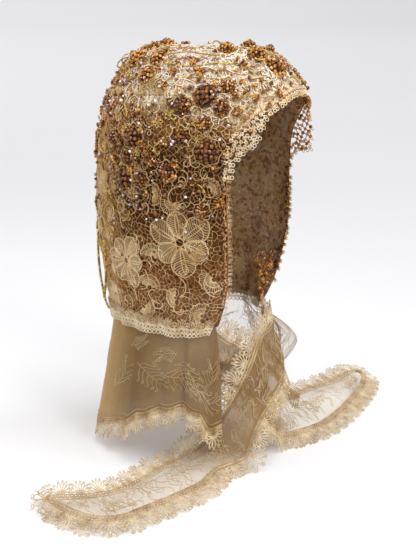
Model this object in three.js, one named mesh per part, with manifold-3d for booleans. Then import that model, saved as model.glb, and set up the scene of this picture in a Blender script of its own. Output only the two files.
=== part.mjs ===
import * as THREE from 'three';
import { mergeVertices } from 'three/addons/utils/BufferGeometryUtils.js';
import Module from 'manifold-3d';

// A soft bridal hood of beaded lace with a tulle fall and two edged ties.
// Millimetres, +Z up, the face looks along -Y, the wearer's right side is -X.
// The origin is the inner top of the crown, where the hood sits on a head.

const wasm = await Module();
wasm.setup();

// Driving dimensions
const half_width = 77;
const back_reach = 110.5;
const front_reach = 106.5;
const crown_to_hem = 247;
const lace_thickness = 1.6;
const tulle_thickness = 1.2;
const edging_thickness = 1.6;
const pleat_depth = 4;
const sewing_gap = 0.8;
const opening_gap = 2.2;
const edging_seam_gap = 1;
const hem_border_width = 17;
const face_edging_width = 13;
const temple_lobe_width = 15;
const scallop_pitch = 21;
const edging_width = 22;
const fall_edging_width = 19;
const fall_length = 114;
const fall_flare = 20;
const ground_drop = 382;
const tail_reach = 260;
const throat_reach = 76;
const rosette_radius = 9;
const rosette_height = 5;
const swag_bead_diameter = 2.4;

// Materials
const finish = (color, roughness) => new THREE.MeshStandardMaterial({
  color, roughness, metalness: 0, side: THREE.FrontSide,
});

const lace_finish = finish(0xb08a58, 0.8);
const edging_finish = finish(0xc8af82, 0.8);
const tulle_finish = finish(0xc9ab84, 0.75);
const bead_finish = finish(0x8a4a12, 0.2);
const gold_bead_finish = finish(0x96803a, 0.3);

const hood = new THREE.Group();

function addPiece(name, geometry, material) {
  const mesh = new THREE.Mesh(geometry, material);
  mesh.name = name;
  hood.add(mesh);
  return mesh;
}

// Sheets and walls

const smooth = (t) => t * t * (3 - 2 * t);
const mix = THREE.MathUtils.lerp;
const radians = THREE.MathUtils.degToRad;

// Value of one named column of a table between two of its rows, eased so that rows join softly.
function readTable(rows, key, value, at, ease = (t) => t) {
  const last = rows.length - 1;
  if (at <= rows[0][key]) return rows[0][value];
  if (at >= rows[last][key]) return rows[last][value];
  const next = rows.findIndex((row) => row[key] > at);
  const share = (at - rows[next - 1][key]) / (rows[next][key] - rows[next - 1][key]);
  return mix(rows[next - 1][value], rows[next][value], ease(share));
}

const weld_distance = 1e-3;

// A grid of points joined into one sheet; cells that kept() refuses are left open.
function gridSheet(rows, columns, pointAt, { closed = false, kept = () => true } = {}) {
  const width = closed ? columns : columns + 1;
  const positions = [];
  for (let row = 0; row <= rows; row += 1) {
    for (let column = 0; column < width; column += 1) {
      positions.push(...pointAt(row / rows, column / columns).toArray());
    }
  }
  const index = [];
  for (let row = 0; row < rows; row += 1) {
    for (let column = 0; column < columns; column += 1) {
      if (!kept(row, column)) continue;
      const next = (column + 1) % width;
      const corner = [row * width + column, row * width + next,
        (row + 1) * width + next, (row + 1) * width + column];
      index.push(corner[0], corner[1], corner[2], corner[0], corner[2], corner[3]);
    }
  }
  const sheet = new THREE.BufferGeometry();
  sheet.setAttribute('position', new THREE.Float32BufferAttribute(positions, 3));
  sheet.setIndex(index);
  return mergeVertices(sheet, weld_distance);
}

function triangleList(index) {
  const triangles = [];
  for (let i = 0; i < index.count; i += 3) {
    const [a, b, c] = [index.getX(i), index.getX(i + 1), index.getX(i + 2)];
    if (a !== b && b !== c && c !== a) triangles.push([a, b, c]);
  }
  return triangles;
}

// A closed wall: the sheet moved out and in by half the thickness, joined along every open edge.
function thicken(sheet, thickness) {
  const triangles = triangleList(sheet.getIndex());
  sheet.setIndex(triangles.flat());
  sheet.computeVertexNormals();
  const middle = sheet.getAttribute('position');
  const normal = sheet.getAttribute('normal');
  const count = middle.count;
  const positions = [];
  for (const side of [0.5, -0.5]) {
    for (let i = 0; i < count; i += 1) {
      positions.push(
        middle.getX(i) + normal.getX(i) * thickness * side,
        middle.getY(i) + normal.getY(i) * thickness * side,
        middle.getZ(i) + normal.getZ(i) * thickness * side,
      );
    }
  }
  const edges = new Set(triangles.flatMap(([a, b, c]) => [`${a} ${b}`, `${b} ${c}`, `${c} ${a}`]));
  const index = [];
  for (const [a, b, c] of triangles) {
    index.push(a, b, c, a + count, c + count, b + count);
    for (const [from, to] of [[a, b], [b, c], [c, a]]) {
      if (edges.has(`${to} ${from}`)) continue;
      index.push(to, from, from + count, to, from + count, to + count);
    }
  }
  const wall = new THREE.BufferGeometry();
  wall.setAttribute('position', new THREE.Float32BufferAttribute(positions, 3));
  wall.setIndex(index);
  return wall;
}

function toSolid(geometry) {
  const bare = geometry.clone();
  bare.deleteAttribute('normal');
  bare.deleteAttribute('uv');
  const merged = mergeVertices(bare, weld_distance / 10);
  return new wasm.Manifold(new wasm.Mesh({
    numProp: 3,
    vertProperties: new Float32Array(merged.getAttribute('position').array),
    triVerts: new Uint32Array(triangleList(merged.getIndex()).flat()),
  }));
}

function toGeometry(solid) {
  const mesh = solid.getMesh();
  const geometry = new THREE.BufferGeometry();
  geometry.setAttribute('position', new THREE.BufferAttribute(new Float32Array(mesh.vertProperties), 3));
  geometry.setIndex(new THREE.BufferAttribute(new Uint32Array(mesh.triVerts), 1));
  return geometry;
}

// Lace hood: one deep cap of lace, open at the face and below.
// Each row is a section: drop is a share of crown_to_hem, and side, back and front
// are shares of half_width, back_reach and front_reach.
const sections = [
  { drop: 0.0, side: 0.0, back: 0.0, front: 0.0 },
  { drop: 0.012, side: 0.46, back: 0.45, front: 0.45 },
  { drop: 0.048, side: 0.64, back: 0.66, front: 0.65 },
  { drop: 0.12, side: 0.80, back: 0.79, front: 0.81 },
  { drop: 0.192, side: 0.90, back: 0.88, front: 0.925 },
  { drop: 0.268, side: 0.955, back: 0.94, front: 0.98 },
  { drop: 0.376, side: 0.99, back: 0.98, front: 1.0 },
  { drop: 0.5, side: 1.0, back: 1.0, front: 1.0 },
  { drop: 0.628, side: 1.0, back: 1.0, front: 0.967 },
  { drop: 0.716, side: 0.987, back: 0.993, front: 0.90 },
  { drop: 0.832, side: 0.961, back: 0.963, front: 0.742 },
  { drop: 0.932, side: 0.922, back: 0.92, front: 0.59 },
  { drop: 1.0, side: 0.90, back: 0.885, front: 0.44 },
];

// Pleats that the soft lace falls into below the temples: angle from the middle of the back,
// positive towards the wearer's right, and depth as a share of pleat_depth.
const pleats = [
  { angle: -128, depth: 0.5 },
  { angle: -104, depth: 0.9 },
  { angle: -82, depth: 0.7 },
  { angle: -60, depth: 1.0 },
  { angle: -34, depth: 0.7 },
  { angle: -8, depth: 0.8 },
  { angle: 20, depth: 0.6 },
  { angle: 46, depth: 1.0 },
  { angle: 63, depth: 0.8 },
  { angle: 83, depth: 1.0 },
  { angle: 104, depth: 0.8 },
  { angle: 128, depth: 0.7 },
];
const pleat_half_angle = 8;
const pleat_start = 0.4;

function pleatInset(angle, drop) {
  const grown = smooth(THREE.MathUtils.clamp((drop - pleat_start) / (1 - pleat_start), 0, 1));
  return pleats.reduce((inset, pleat) => {
    const away = Math.abs(angle - pleat.angle) / pleat_half_angle;
    return inset + (away < 1 ? grown * pleat.depth * pleat_depth * (1 - smooth(away)) : 0);
  }, 0);
}

// Point on the lace's middle face at an angle in degrees and a drop share, moved out by a lift.
function hoodPoint(angle, drop, lift = 0) {
  const side = half_width * readTable(sections, 'drop', 'side', drop);
  const back = back_reach * readTable(sections, 'drop', 'back', drop);
  const front = front_reach * readTable(sections, 'drop', 'front', drop);
  const turn = radians(angle);
  const depth = Math.cos(turn) > 0 ? back : front;
  const flat = new THREE.Vector2(-side * Math.sin(turn), depth * Math.cos(turn));
  const reach = flat.length();
  if (reach > 1) flat.multiplyScalar((reach - pleatInset(angle, drop) + lift) / reach);
  const top = lace_thickness / 2 + (reach > 1 ? 0 : lift);
  return new THREE.Vector3(flat.x, flat.y, top - crown_to_hem * drop);
}

const column_angle = 6;

function hoodDrop(share) {
  return sections[Math.round(share * (sections.length - 1))].drop;
}

// The face opening's edge seen from the side: forward is a share of front_reach
// and drop a share of crown_to_hem, from the forehead down to the hem's corner.
const face_profile = [
  { forward: 0.853, drop: 0.148 },
  { forward: 0.800, drop: 0.188 },
  { forward: 0.690, drop: 0.226 },
  { forward: 0.545, drop: 0.320 },
  { forward: 0.512, drop: 0.420 },
  { forward: 0.508, drop: 0.520 },
  { forward: 0.515, drop: 0.630 },
  { forward: 0.500, drop: 0.724 },
  { forward: 0.465, drop: 0.832 },
  { forward: 0.405, drop: 0.932 },
  { forward: 0.320, drop: 1.010 },
];

const profile_curve = new THREE.SplineCurve(face_profile.map(
  (row) => new THREE.Vector2(-front_reach * row.forward, -crown_to_hem * row.drop),
));

const profile_steps = 30;
const beyond_the_face = 1.4;

function faceCutter() {
  const outline = new THREE.Shape();
  const beyond = front_reach * beyond_the_face;
  const below = crown_to_hem * beyond_the_face;
  const points = profile_curve.getPoints(profile_steps);
  outline.moveTo(-beyond, points[0].y);
  points.forEach((point) => outline.lineTo(point.x, point.y));
  outline.lineTo(points.at(-1).x, -below);
  outline.lineTo(-beyond, -below);
  outline.closePath();
  const cutter = new THREE.ExtrudeGeometry(outline, { depth: 4 * half_width, bevelEnabled: false });
  cutter.translate(0, 0, -2 * half_width);
  cutter.applyMatrix4(new THREE.Matrix4().makeBasis(
    new THREE.Vector3(0, 1, 0), new THREE.Vector3(0, 0, 1), new THREE.Vector3(1, 0, 0),
  ));
  return cutter;
}

function laceHood() {
  const sheet = gridSheet(sections.length - 1, 360 / column_angle,
    (down, round) => hoodPoint(180 - 360 * round, hoodDrop(down)), { closed: true });
  const dome = toSolid(thicken(sheet, lace_thickness));
  return toGeometry(dome.subtract(toSolid(faceCutter())));
}

addPiece('lace_hood', laceHood(), lace_finish);

// Face edging: a pierced scalloped trim along the face opening, with a lobe at each temple.
// It stops above the hem border, at this share of crown_to_hem.
const edging_stop = 0.925;
const halvings = 30;

// The opening's edge on one side, as angle and drop, from the hem's corner to the forehead.
function openingEdge(side) {
  const points = profile_curve.getPoints(2 * profile_steps).reverse();
  const clear = points.filter((point) => {
    const drop = -point.y / crown_to_hem;
    return drop < edging_stop && point.x > hoodPoint(179, drop).y;
  });
  return clear.map((point) => {
    const drop = -point.y / crown_to_hem;
    let low = 90;
    let high = 180;
    for (let step = 0; step < halvings; step += 1) {
      const middle = (low + high) / 2;
      if (hoodPoint(middle, drop).y > point.x) low = middle;
      else high = middle;
    }
    return hoodPoint(side * low, drop);
  });
}

const opening_curve = new THREE.CatmullRomCurve3([
  ...openingEdge(1), hoodPoint(180, face_profile[0].drop), ...openingEdge(-1).reverse(),
]);
opening_curve.arcLengthDivisions = 10 * profile_steps;
const opening_length = opening_curve.getLength();

// Where the lobes stand, as shares of the way round the opening, and how far each reaches,
// swings out from the cheek and hangs down.
const temple_lobes = [
  { along: 0.335, half_span: 0.08, reach: 0.80, swing: 0.20, hang: 0.0 },
  { along: 0.665, half_span: 0.085, reach: 1.40, swing: 0.75, hang: 0.75 },
];
const cheek_edging_share = 0.55;
const cheek_share_of_way = 0.42;

// The edging lies flat against the brow and stands upright on the cheeks.
const brow_rise = 0.8;
const brow_height_share = 0.4;

function lobeAt(along, value) {
  return temple_lobes.reduce((sum, lobe) => {
    const away = Math.abs(along - lobe.along) / lobe.half_span;
    return sum + (away < 1 ? lobe[value] * (1 - smooth(away)) : 0);
  }, 0);
}

const face_motifs = Math.round(opening_length / scallop_pitch);
const columns_per_motif = 4;

const scallop_valley = 0.64;

function scallop(along, motifs) {
  const phase = (along * motifs) % 1;
  return mix(scallop_valley, 1, Math.sin(Math.PI * phase));
}

function faceEdgingPoint(out, along) {
  const spot = opening_curve.getPointAt(along);
  const tangent = opening_curve.getTangentAt(along);
  const outward = new THREE.Vector3(spot.x, spot.y, 0).normalize();
  outward.z = THREE.MathUtils.clamp(1 + spot.z / (brow_height_share * crown_to_hem), 0, brow_rise);
  outward.addScaledVector(tangent, -outward.dot(tangent)).normalize();
  const onward = new THREE.Vector3().crossVectors(tangent, outward).normalize();
  const from_hem = Math.min(along, 1 - along) / cheek_share_of_way;
  const narrow = mix(cheek_edging_share, 1, smooth(Math.min(1, from_hem)));
  const width = face_edging_width * narrow * scallop(along, face_motifs)
    + temple_lobe_width * lobeAt(along, 'reach');
  onward.addScaledVector(outward, lobeAt(along, 'swing'));
  onward.z -= lobeAt(along, 'hang');
  onward.normalize();
  return spot.addScaledVector(onward, opening_gap + width * out);
}

const middle_row = 1;
const isPierced = (row, column) => row === middle_row && column % columns_per_motif === 1;

addPiece('face_edging', thicken(gridSheet(
  3, face_motifs * columns_per_motif, faceEdgingPoint,
  { kept: (row, column) => !isPierced(row, column) },
), edging_thickness), edging_finish);

// Hem border: a pierced guipure band sewn over the lower edge of the lace.
const hem_corner_angle = 132;
const border_columns = 2 * hem_corner_angle / column_angle;
const border_overhang = 3;
const border_lift = lace_thickness / 2 + edging_thickness / 2 + sewing_gap;

function hemBorderPoint(down, round) {
  const angle = mix(hem_corner_angle, -hem_corner_angle, round);
  const top = 1 - (hem_border_width - border_overhang) / crown_to_hem;
  const bottom = 1 + border_overhang / crown_to_hem;
  const point = hoodPoint(angle, Math.min(mix(top, bottom, down), 1), border_lift);
  point.z = lace_thickness / 2 - crown_to_hem * mix(top, bottom, down);
  return point;
}

addPiece('hem_border', thicken(gridSheet(
  3, border_columns, hemBorderPoint,
  { kept: (row, column) => !(row === middle_row && column % 2 === 1) },
), edging_thickness), edging_finish);

// Veil fall: the tulle flounce under the hem, from the near front edge round the back.
// Drop, flare, forward and wave are shares of fall_length and of fall_flare at the foot of
// the tulle; forward swings the tulle to the front and wave sways it on its way down.
const fall_stations = [
  { angle: -138, drop: 0.84, flare: 0.95, forward: 1.45, wave: 0.90 },
  { angle: -124, drop: 0.80, flare: 0.85, forward: 1.00, wave: 0.50 },
  { angle: -108, drop: 0.66, flare: 0.80, forward: 0.50, wave: 0.15 },
  { angle: -88, drop: 0.64, flare: 0.85, forward: 0.10, wave: 0.0 },
  { angle: -66, drop: 0.87, flare: 0.95, forward: 0.0, wave: 0.0 },
  { angle: -36, drop: 0.97, flare: 0.95, forward: 0.0, wave: 0.0 },
  { angle: 0, drop: 1.0, flare: 1.0, forward: 0.0, wave: 0.0 },
  { angle: 36, drop: 1.00, flare: 0.94, forward: 0.0, wave: 0.0 },
  { angle: 66, drop: 0.87, flare: 0.95, forward: 0.0, wave: 0.0 },
  { angle: 77, drop: 0.75, flare: 0.83, forward: 0.0, wave: 0.0 },
  { angle: 88, drop: 0.67, flare: 0.73, forward: 0.0, wave: 0.0 },
  { angle: 107, drop: 0.64, flare: 0.62, forward: 0.0, wave: 0.0 },
  { angle: 120, drop: 0.70, flare: 0.58, forward: 0.05, wave: 0.0 },
  { angle: 129, drop: 0.86, flare: 0.56, forward: 0.12, wave: 0.0 },
  { angle: 138, drop: 0.83, flare: 0.55, forward: 0.22, wave: 0.0 },
];
const fall_tuck = lace_thickness / 2 + tulle_thickness / 2 + sewing_gap;
const fall_overlap = 5;
const fall_fold_depth = 2.2;
const fall_folds = 9;
const hanging_start = fall_overlap + border_overhang + 1;

// Point of the fall: down runs from the seam (0) to the foot of the tulle (1) and on below it.
function fallPoint(angle, down) {
  const station = (value) => readTable(fall_stations, 'angle', value, angle, smooth);
  const seam = hoodPoint(angle, 1, -fall_tuck);
  const height = station('drop') * fall_length + fall_overlap;
  const start = hanging_start / height;
  const hanging = Math.max(0, (down - start) / (1 - start));
  const eased = Math.min(hanging, 1);
  const reach = Math.hypot(seam.x, seam.y);
  const folds = fall_fold_depth * Math.cos(radians(angle) * fall_folds) * eased;
  const share = (reach + fall_flare * station('flare') * hanging + folds) / reach;
  const forward = fall_flare * (station('forward') * (1 - Math.pow(1 - eased, 3))
    + station('wave') * Math.sin(2 * Math.PI * eased));
  return new THREE.Vector3(seam.x * share, seam.y * share - forward, seam.z + fall_overlap - height * down);
}

const fall_first = fall_stations[0].angle;
const fall_last = fall_stations.at(-1).angle;
const fall_columns = (fall_last - fall_first) / column_angle;
const fall_rows = 5;
const fallAngle = (round) => mix(fall_last, fall_first, round);

// The first row of cells is the seam inside the hem, and the rest hangs free.
function fallDown(share, angle) {
  const height = readTable(fall_stations, 'angle', 'drop', angle, smooth) * fall_length + fall_overlap;
  const seam_share = 1 / fall_rows;
  if (share <= seam_share) return share / seam_share * hanging_start / height;
  return mix(hanging_start / height, 1, (share - seam_share) / (1 - seam_share));
}

addPiece('veil_fall', thicken(gridSheet(
  fall_rows, fall_columns,
  (down, round) => fallPoint(fallAngle(round), fallDown(down, fallAngle(round))),
), tulle_thickness), tulle_finish);

// A line of straight steps through points, read by its share of the whole length.
class StepLine {
  constructor(points) {
    this.points = points;
    this.passed = [0];
    points.slice(1).forEach((point, i) => this.passed.push(this.passed[i] + point.distanceTo(points[i])));
    this.length = this.passed.at(-1);
  }

  at(share) {
    const wanted = THREE.MathUtils.clamp(share, 0, 1) * this.length;
    const next = Math.max(1, this.passed.findIndex((length) => length >= wanted - weld_distance));
    const between = (wanted - this.passed[next - 1]) / (this.passed[next] - this.passed[next - 1]);
    return { step: next - 1 + between, point: this.points[next - 1].clone().lerp(this.points[next], between) };
  }
}

// Fall edging: pierced fans hanging from the foot of the tulle.
const foot_line = new StepLine(Array.from({ length: fall_columns + 1 },
  (_, column) => fallPoint(fallAngle(column / fall_columns), 1)));
const above_foot = 0.85;
const above_line = Array.from({ length: fall_columns + 1 },
  (_, column) => fallPoint(fallAngle(column / fall_columns), above_foot));
const fall_motifs = Math.round(foot_line.length / scallop_pitch);

function fallEdgingPoint(down, round) {
  const { step, point } = foot_line.at(round);
  const column = Math.min(Math.floor(step), fall_columns - 1);
  const above = above_line[column].clone().lerp(above_line[column + 1], step - column);
  const onward = point.clone().sub(above).normalize();
  const width = fall_edging_width * scallop(round, fall_motifs);
  return point.addScaledVector(onward, edging_seam_gap + width * down);
}

addPiece('fall_edging', thicken(gridSheet(
  3, fall_motifs * columns_per_motif, fallEdgingPoint,
  { kept: (row, column) => !isPierced(row, column) },
), edging_thickness), edging_finish);

// Ties: two tulle tails from the hem's front corners, crossing at the throat.
// Each row is one station along a tie with its upper and lower border points;
// x is a share of tail_reach, y of throat_reach (negative in front) and z of ground_drop.
// Where a tail lies, its edging holds the tulle up off the table: the upper edging leans up and the
// lower one slopes down to the table.
const lying = 0.9965;
const raised = 0.978;
const leaning_from = 0.93;
const edging_lean = { upper: 0.34, lower: -0.40 };
const tie_columns_per_motif = 3;
const right_tie_stations = [
  { upper_x: -0.1665, upper_y: -0.429, upper_z: 0.660, lower_x: -0.160, lower_y: -0.34, lower_z: 0.775 },
  { upper_x: -0.125, upper_y: -0.54, upper_z: 0.690, lower_x: -0.139, lower_y: -0.46, lower_z: 0.796 },
  { upper_x: -0.065, upper_y: -0.62, upper_z: 0.719, lower_x: -0.092, lower_y: -0.58, lower_z: 0.812 },
  { upper_x: 0.010, upper_y: -0.66, upper_z: 0.762, lower_x: -0.035, lower_y: -0.70, lower_z: 0.850 },
  { upper_x: 0.096, upper_y: -0.64, upper_z: 0.822, lower_x: 0.015, lower_y: -0.80, lower_z: 0.910 },
  { upper_x: 0.192, upper_y: -0.60, upper_z: 0.890, lower_x: 0.080, lower_y: -0.92, lower_z: 0.965 },
  { upper_x: 0.308, upper_y: -0.48, upper_z: 0.942, lower_x: 0.175, lower_y: -1.06, lower_z: 0.976 },
  { upper_x: 0.438, upper_y: -0.42, upper_z: 0.974, lower_x: 0.285, lower_y: -1.19, lower_z: raised },
  { upper_x: 0.585, upper_y: -0.50, upper_z: raised, lower_x: 0.431, lower_y: -1.24, lower_z: raised },
  { upper_x: 0.758, upper_y: -0.72, upper_z: raised, lower_x: 0.623, lower_y: -1.22, lower_z: raised },
  { upper_x: 0.876, upper_y: -0.77, upper_z: raised, lower_x: 0.770, lower_y: -1.17, lower_z: raised },
  { upper_x: 0.938, upper_y: -0.84, upper_z: raised, lower_x: 0.872, lower_y: -1.10, lower_z: raised },
];
const left_tie_stations = [
  { upper_x: 0.168, upper_y: -0.49, upper_z: 0.666, lower_x: 0.188, lower_y: -0.48, lower_z: 0.748 },
  { upper_x: 0.108, upper_y: -0.74, upper_z: 0.668, lower_x: 0.150, lower_y: -0.78, lower_z: 0.780 },
  { upper_x: 0.031, upper_y: -0.82, upper_z: 0.672, lower_x: 0.092, lower_y: -0.95, lower_z: 0.799 },
  { upper_x: -0.040, upper_y: -0.80, upper_z: 0.685, lower_x: 0.019, lower_y: -0.98, lower_z: 0.820 },
  { upper_x: -0.085, upper_y: -0.76, upper_z: 0.737, lower_x: -0.050, lower_y: -0.96, lower_z: 0.848 },
  { upper_x: -0.125, upper_y: -0.71, upper_z: 0.785, lower_x: -0.108, lower_y: -0.92, lower_z: 0.880 },
  { upper_x: -0.155, upper_y: -0.61, upper_z: 0.834, lower_x: -0.146, lower_y: -0.88, lower_z: 0.921 },
  { upper_x: -0.180, upper_y: -0.45, upper_z: 0.893, lower_x: -0.169, lower_y: -0.83, lower_z: 0.962 },
  { upper_x: -0.213, upper_y: -0.31, upper_z: 0.938, lower_x: -0.204, lower_y: -0.74, lower_z: 0.973 },
  { upper_x: -0.262, upper_y: -0.14, upper_z: 0.970, lower_x: -0.262, lower_y: -0.62, lower_z: raised },
  { upper_x: -0.335, upper_y: -0.02, upper_z: raised, lower_x: -0.385, lower_y: -0.65, lower_z: raised },
  { upper_x: -0.440, upper_y: 0.01, upper_z: raised, lower_x: -0.510, lower_y: -0.54, lower_z: raised },
  { upper_x: -0.540, upper_y: 0.07, upper_z: raised, lower_x: -0.628, lower_y: -0.40, lower_z: raised },
  { upper_x: -0.608, upper_y: 0.21, upper_z: raised, lower_x: -0.725, lower_y: -0.26, lower_z: raised },
  { upper_x: -0.655, upper_y: 0.38, upper_z: raised, lower_x: -0.768, lower_y: -0.02, lower_z: raised },
  { upper_x: -0.690, upper_y: 0.56, upper_z: raised, lower_x: -0.765, lower_y: 0.27, lower_z: raised },
  { upper_x: -0.712, upper_y: 0.70, upper_z: raised, lower_x: -0.745, lower_y: 0.53, lower_z: raised },
];

function borderCurve(stations, border) {
  return new THREE.CatmullRomCurve3(stations.map((station) => new THREE.Vector3(
    tail_reach * station[`${border}_x`],
    throat_reach * station[`${border}_y`],
    -ground_drop * station[`${border}_z`],
  )), false, 'centripetal');
}

// A tie's tulle and its two edgings, which follow the same straight steps as the tulle.
function tieParts(name, stations) {
  const upper = borderCurve(stations, 'upper');
  const lower = borderCurve(stations, 'lower');
  const motifs = Math.round(Math.max(upper.getLength(), lower.getLength()) / scallop_pitch);
  const columns = 2 * motifs;
  const lines = { upper: upper.getPoints(columns), lower: lower.getPoints(columns) };
  const tulle = gridSheet(2, columns, (down, along) => {
    const column = Math.round(along * columns);
    return lines.upper[column].clone().lerp(lines.lower[column], down);
  });
  addPiece(name, thicken(tulle, tulle_thickness), tulle_finish);
  for (const [border, opposite] of [['upper', 'lower'], ['lower', 'upper']]) {
    const line = new StepLine(lines[border]);
    const edging = gridSheet(1, motifs * tie_columns_per_motif, (down, along) => {
      const { step, point } = line.at(along);
      const column = Math.min(Math.floor(step), columns - 1);
      const tangent = lines[border][column + 1].clone().sub(lines[border][column]).normalize();
      const across = lines[opposite][column].clone().lerp(lines[opposite][column + 1], step - column);
      const onward = point.clone().sub(across);
      onward.addScaledVector(tangent, -onward.dot(tangent)).normalize();
      const near_table = THREE.MathUtils.smoothstep(-point.z / ground_drop, leaning_from, raised);
      onward.z += edging_lean[border] * near_table;
      onward.normalize();
      const lowest = (-ground_drop * lying - point.z) / edging_width;
      if (onward.z < lowest) onward.setZ(0).setLength(Math.sqrt(1 - lowest * lowest)).setZ(lowest);
      const width = edging_width * scallop(along, motifs);
      return point.addScaledVector(onward, edging_seam_gap + width * down);
    });
    addPiece(`${name}_${border}_edging`, thicken(edging, edging_thickness), edging_finish);
  }
}

tieParts('right_tie', right_tie_stations);
tieParts('left_tie', left_tie_stations);

// Rosettes: domed clusters of amber beads sewn on the lace.
// Angle as for the pleats, drop a share of crown_to_hem, size a share of rosette_radius.
const rosettes = [
  { angle: 25, drop: 0.007, size: 0.95 },
  { angle: 46, drop: 0.016, size: 0.70 },
  { angle: 49, drop: 0.054, size: 1.00 },
  { angle: 72, drop: 0.048, size: 0.85 },
  { angle: 131, drop: 0.017, size: 0.85 },
  { angle: 172, drop: 0.010, size: 0.80 },
  { angle: 157, drop: 0.033, size: 0.90 },
  { angle: 165, drop: 0.076, size: 1.00 },
  { angle: -173, drop: 0.024, size: 0.60 },
  { angle: 70, drop: 0.105, size: 0.90 },
  { angle: 4, drop: 0.105, size: 0.60 },
  { angle: 123, drop: 0.135, size: 0.70 },
  { angle: 110, drop: 0.168, size: 1.05 },
  { angle: 98, drop: 0.202, size: 0.85 },
  { angle: 118, drop: 0.209, size: 0.70 },
  { angle: 109, drop: 0.259, size: 0.65 },
  { angle: 98, drop: 0.305, size: 0.80 },
  { angle: 71, drop: 0.315, size: 1.05 },
  { angle: 56, drop: 0.323, size: 0.70 },
  { angle: 111, drop: 0.351, size: 1.10 },
  { angle: 82, drop: 0.372, size: 0.60 },
  { angle: 68, drop: 0.387, size: 0.75 },
  { angle: 91, drop: 0.425, size: 0.80 },
  { angle: 77, drop: 0.461, size: 0.70 },
  { angle: 66, drop: 0.465, size: 1.05 },
  { angle: 117, drop: 0.530, size: 0.60 },
  { angle: 109, drop: 0.559, size: 1.00 },
  { angle: -48, drop: 0.050, size: 0.90 },
  { angle: -115, drop: 0.045, size: 0.90 },
  { angle: -75, drop: 0.120, size: 1.00 },
  { angle: -20, drop: 0.200, size: 0.80 },
  { angle: -112, drop: 0.180, size: 1.00 },
  { angle: -60, drop: 0.310, size: 1.00 },
  { angle: -106, drop: 0.350, size: 1.05 },
  { angle: -82, drop: 0.440, size: 0.90 },
  { angle: -112, drop: 0.550, size: 1.00 },
];
const rosette_sides = 8;
const seat_gap = 0.7;
const crown_margin = 0.004;

function hoodNormal(angle, drop) {
  const turn = 2;
  const step = 0.02;
  const across = hoodPoint(angle - turn, drop).sub(hoodPoint(angle + turn, drop));
  const down = hoodPoint(angle, Math.min(drop + step, 1)).sub(hoodPoint(angle, Math.max(drop - step, crown_margin)));
  return new THREE.Vector3().crossVectors(across, down).normalize();
}

// Half profile of a rosette: out is a share of its radius and up of rosette_height.
const rosette_profile = [
  { out: 0, up: 0 },
  { out: 1, up: 0.15 },
  { out: 0.68, up: 0.8 },
  { out: 0, up: 1 },
];

function rosetteGeometry(size) {
  const radius = rosette_radius * size;
  const profile = rosette_profile.map((row) => new THREE.Vector2(row.out * radius, row.up * rosette_height));
  const dome = new THREE.LatheGeometry(profile, rosette_sides);
  dome.rotateX(Math.PI / 2);
  return dome;
}

rosettes.forEach((rosette, number) => {
  const name = `rosette_${String(number + 1).padStart(2, '0')}`;
  const piece = addPiece(name, rosetteGeometry(rosette.size), bead_finish);
  const normal = hoodNormal(rosette.angle, rosette.drop);
  piece.position.copy(hoodPoint(rosette.angle, rosette.drop));
  piece.position.addScaledVector(normal, lace_thickness / 2 + seat_gap);
  piece.quaternion.setFromUnitVectors(new THREE.Vector3(0, 0, 1), normal);
});

// Bead swag: two strands of gold seed beads that hang behind the near ear, meet and end in one stem.
// Angle and drop are as for the rosettes; lift is the clearance from the lace in bead diameters.
const swag_strands = {
  outer: [
    { angle: 39, drop: 0.690, lift: 1.3 },
    { angle: 38.5, drop: 0.780, lift: 1.9 },
    { angle: 38, drop: 0.865, lift: 2.2 },
    { angle: 38, drop: 0.950, lift: 2.4 },
  ],
  inner: [
    { angle: 45, drop: 0.720, lift: 1.4 },
    { angle: 44, drop: 0.800, lift: 1.6 },
    { angle: 42, drop: 0.880, lift: 2.0 },
    { angle: 38.3, drop: 0.946, lift: 2.4 },
  ],
  stem: [
    { angle: 38, drop: 0.944, lift: 2.4 },
    { angle: 39, drop: 0.965, lift: 2.4 },
    { angle: 40.5, drop: 0.988, lift: 2.3 },
  ],
};
const strand_sides = 6;

function strandTube(strand) {
  const route = new THREE.CatmullRomCurve3(strand.map(
    (row) => hoodPoint(row.angle, row.drop, row.lift * swag_bead_diameter)));
  const ring = new THREE.Shape();
  ring.absarc(0, 0, swag_bead_diameter / 2, 0, 2 * Math.PI);
  return new THREE.ExtrudeGeometry(ring, {
    steps: 2 * strand.length, curveSegments: strand_sides / 2, extrudePath: route, bevelEnabled: false,
  });
}

const swag = Object.values(swag_strands)
  .map((strand) => toSolid(strandTube(strand)))
  .reduce((joined, strand) => joined.add(strand));
addPiece('bead_swag', toGeometry(swag), gold_bead_finish);

export default hood;
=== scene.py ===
import math

import bmesh
import bpy
import numpy as np
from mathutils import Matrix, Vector
from mathutils.bvhtree import BVHTree
from mathutils.kdtree import KDTree


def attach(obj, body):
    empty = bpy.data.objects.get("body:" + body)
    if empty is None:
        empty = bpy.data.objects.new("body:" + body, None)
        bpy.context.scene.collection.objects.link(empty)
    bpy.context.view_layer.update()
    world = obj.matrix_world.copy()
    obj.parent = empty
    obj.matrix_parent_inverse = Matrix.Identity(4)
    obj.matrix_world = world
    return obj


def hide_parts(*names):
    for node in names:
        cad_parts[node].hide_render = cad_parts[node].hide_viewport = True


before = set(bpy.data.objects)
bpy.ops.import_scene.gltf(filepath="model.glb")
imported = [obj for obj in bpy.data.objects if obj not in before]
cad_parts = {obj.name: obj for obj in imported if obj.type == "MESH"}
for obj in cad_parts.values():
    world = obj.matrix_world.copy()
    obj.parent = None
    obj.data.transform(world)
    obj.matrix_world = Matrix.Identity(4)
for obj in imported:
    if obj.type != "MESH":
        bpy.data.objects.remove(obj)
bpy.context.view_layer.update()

# Lace ground
# The hood is one deep cap of fine cotton net lace that falls from the crown to the hem in soft pleats, with
# one large opening in front. It is pale over the crown, tobacco brown where the beads are thick and champagne
# below; the tobacco brown is painted shade from the hollow inside the hood. Everything else is sewn on it.
half_width = 0.077
back_reach = 0.1105
front_reach = 0.1065
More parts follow.
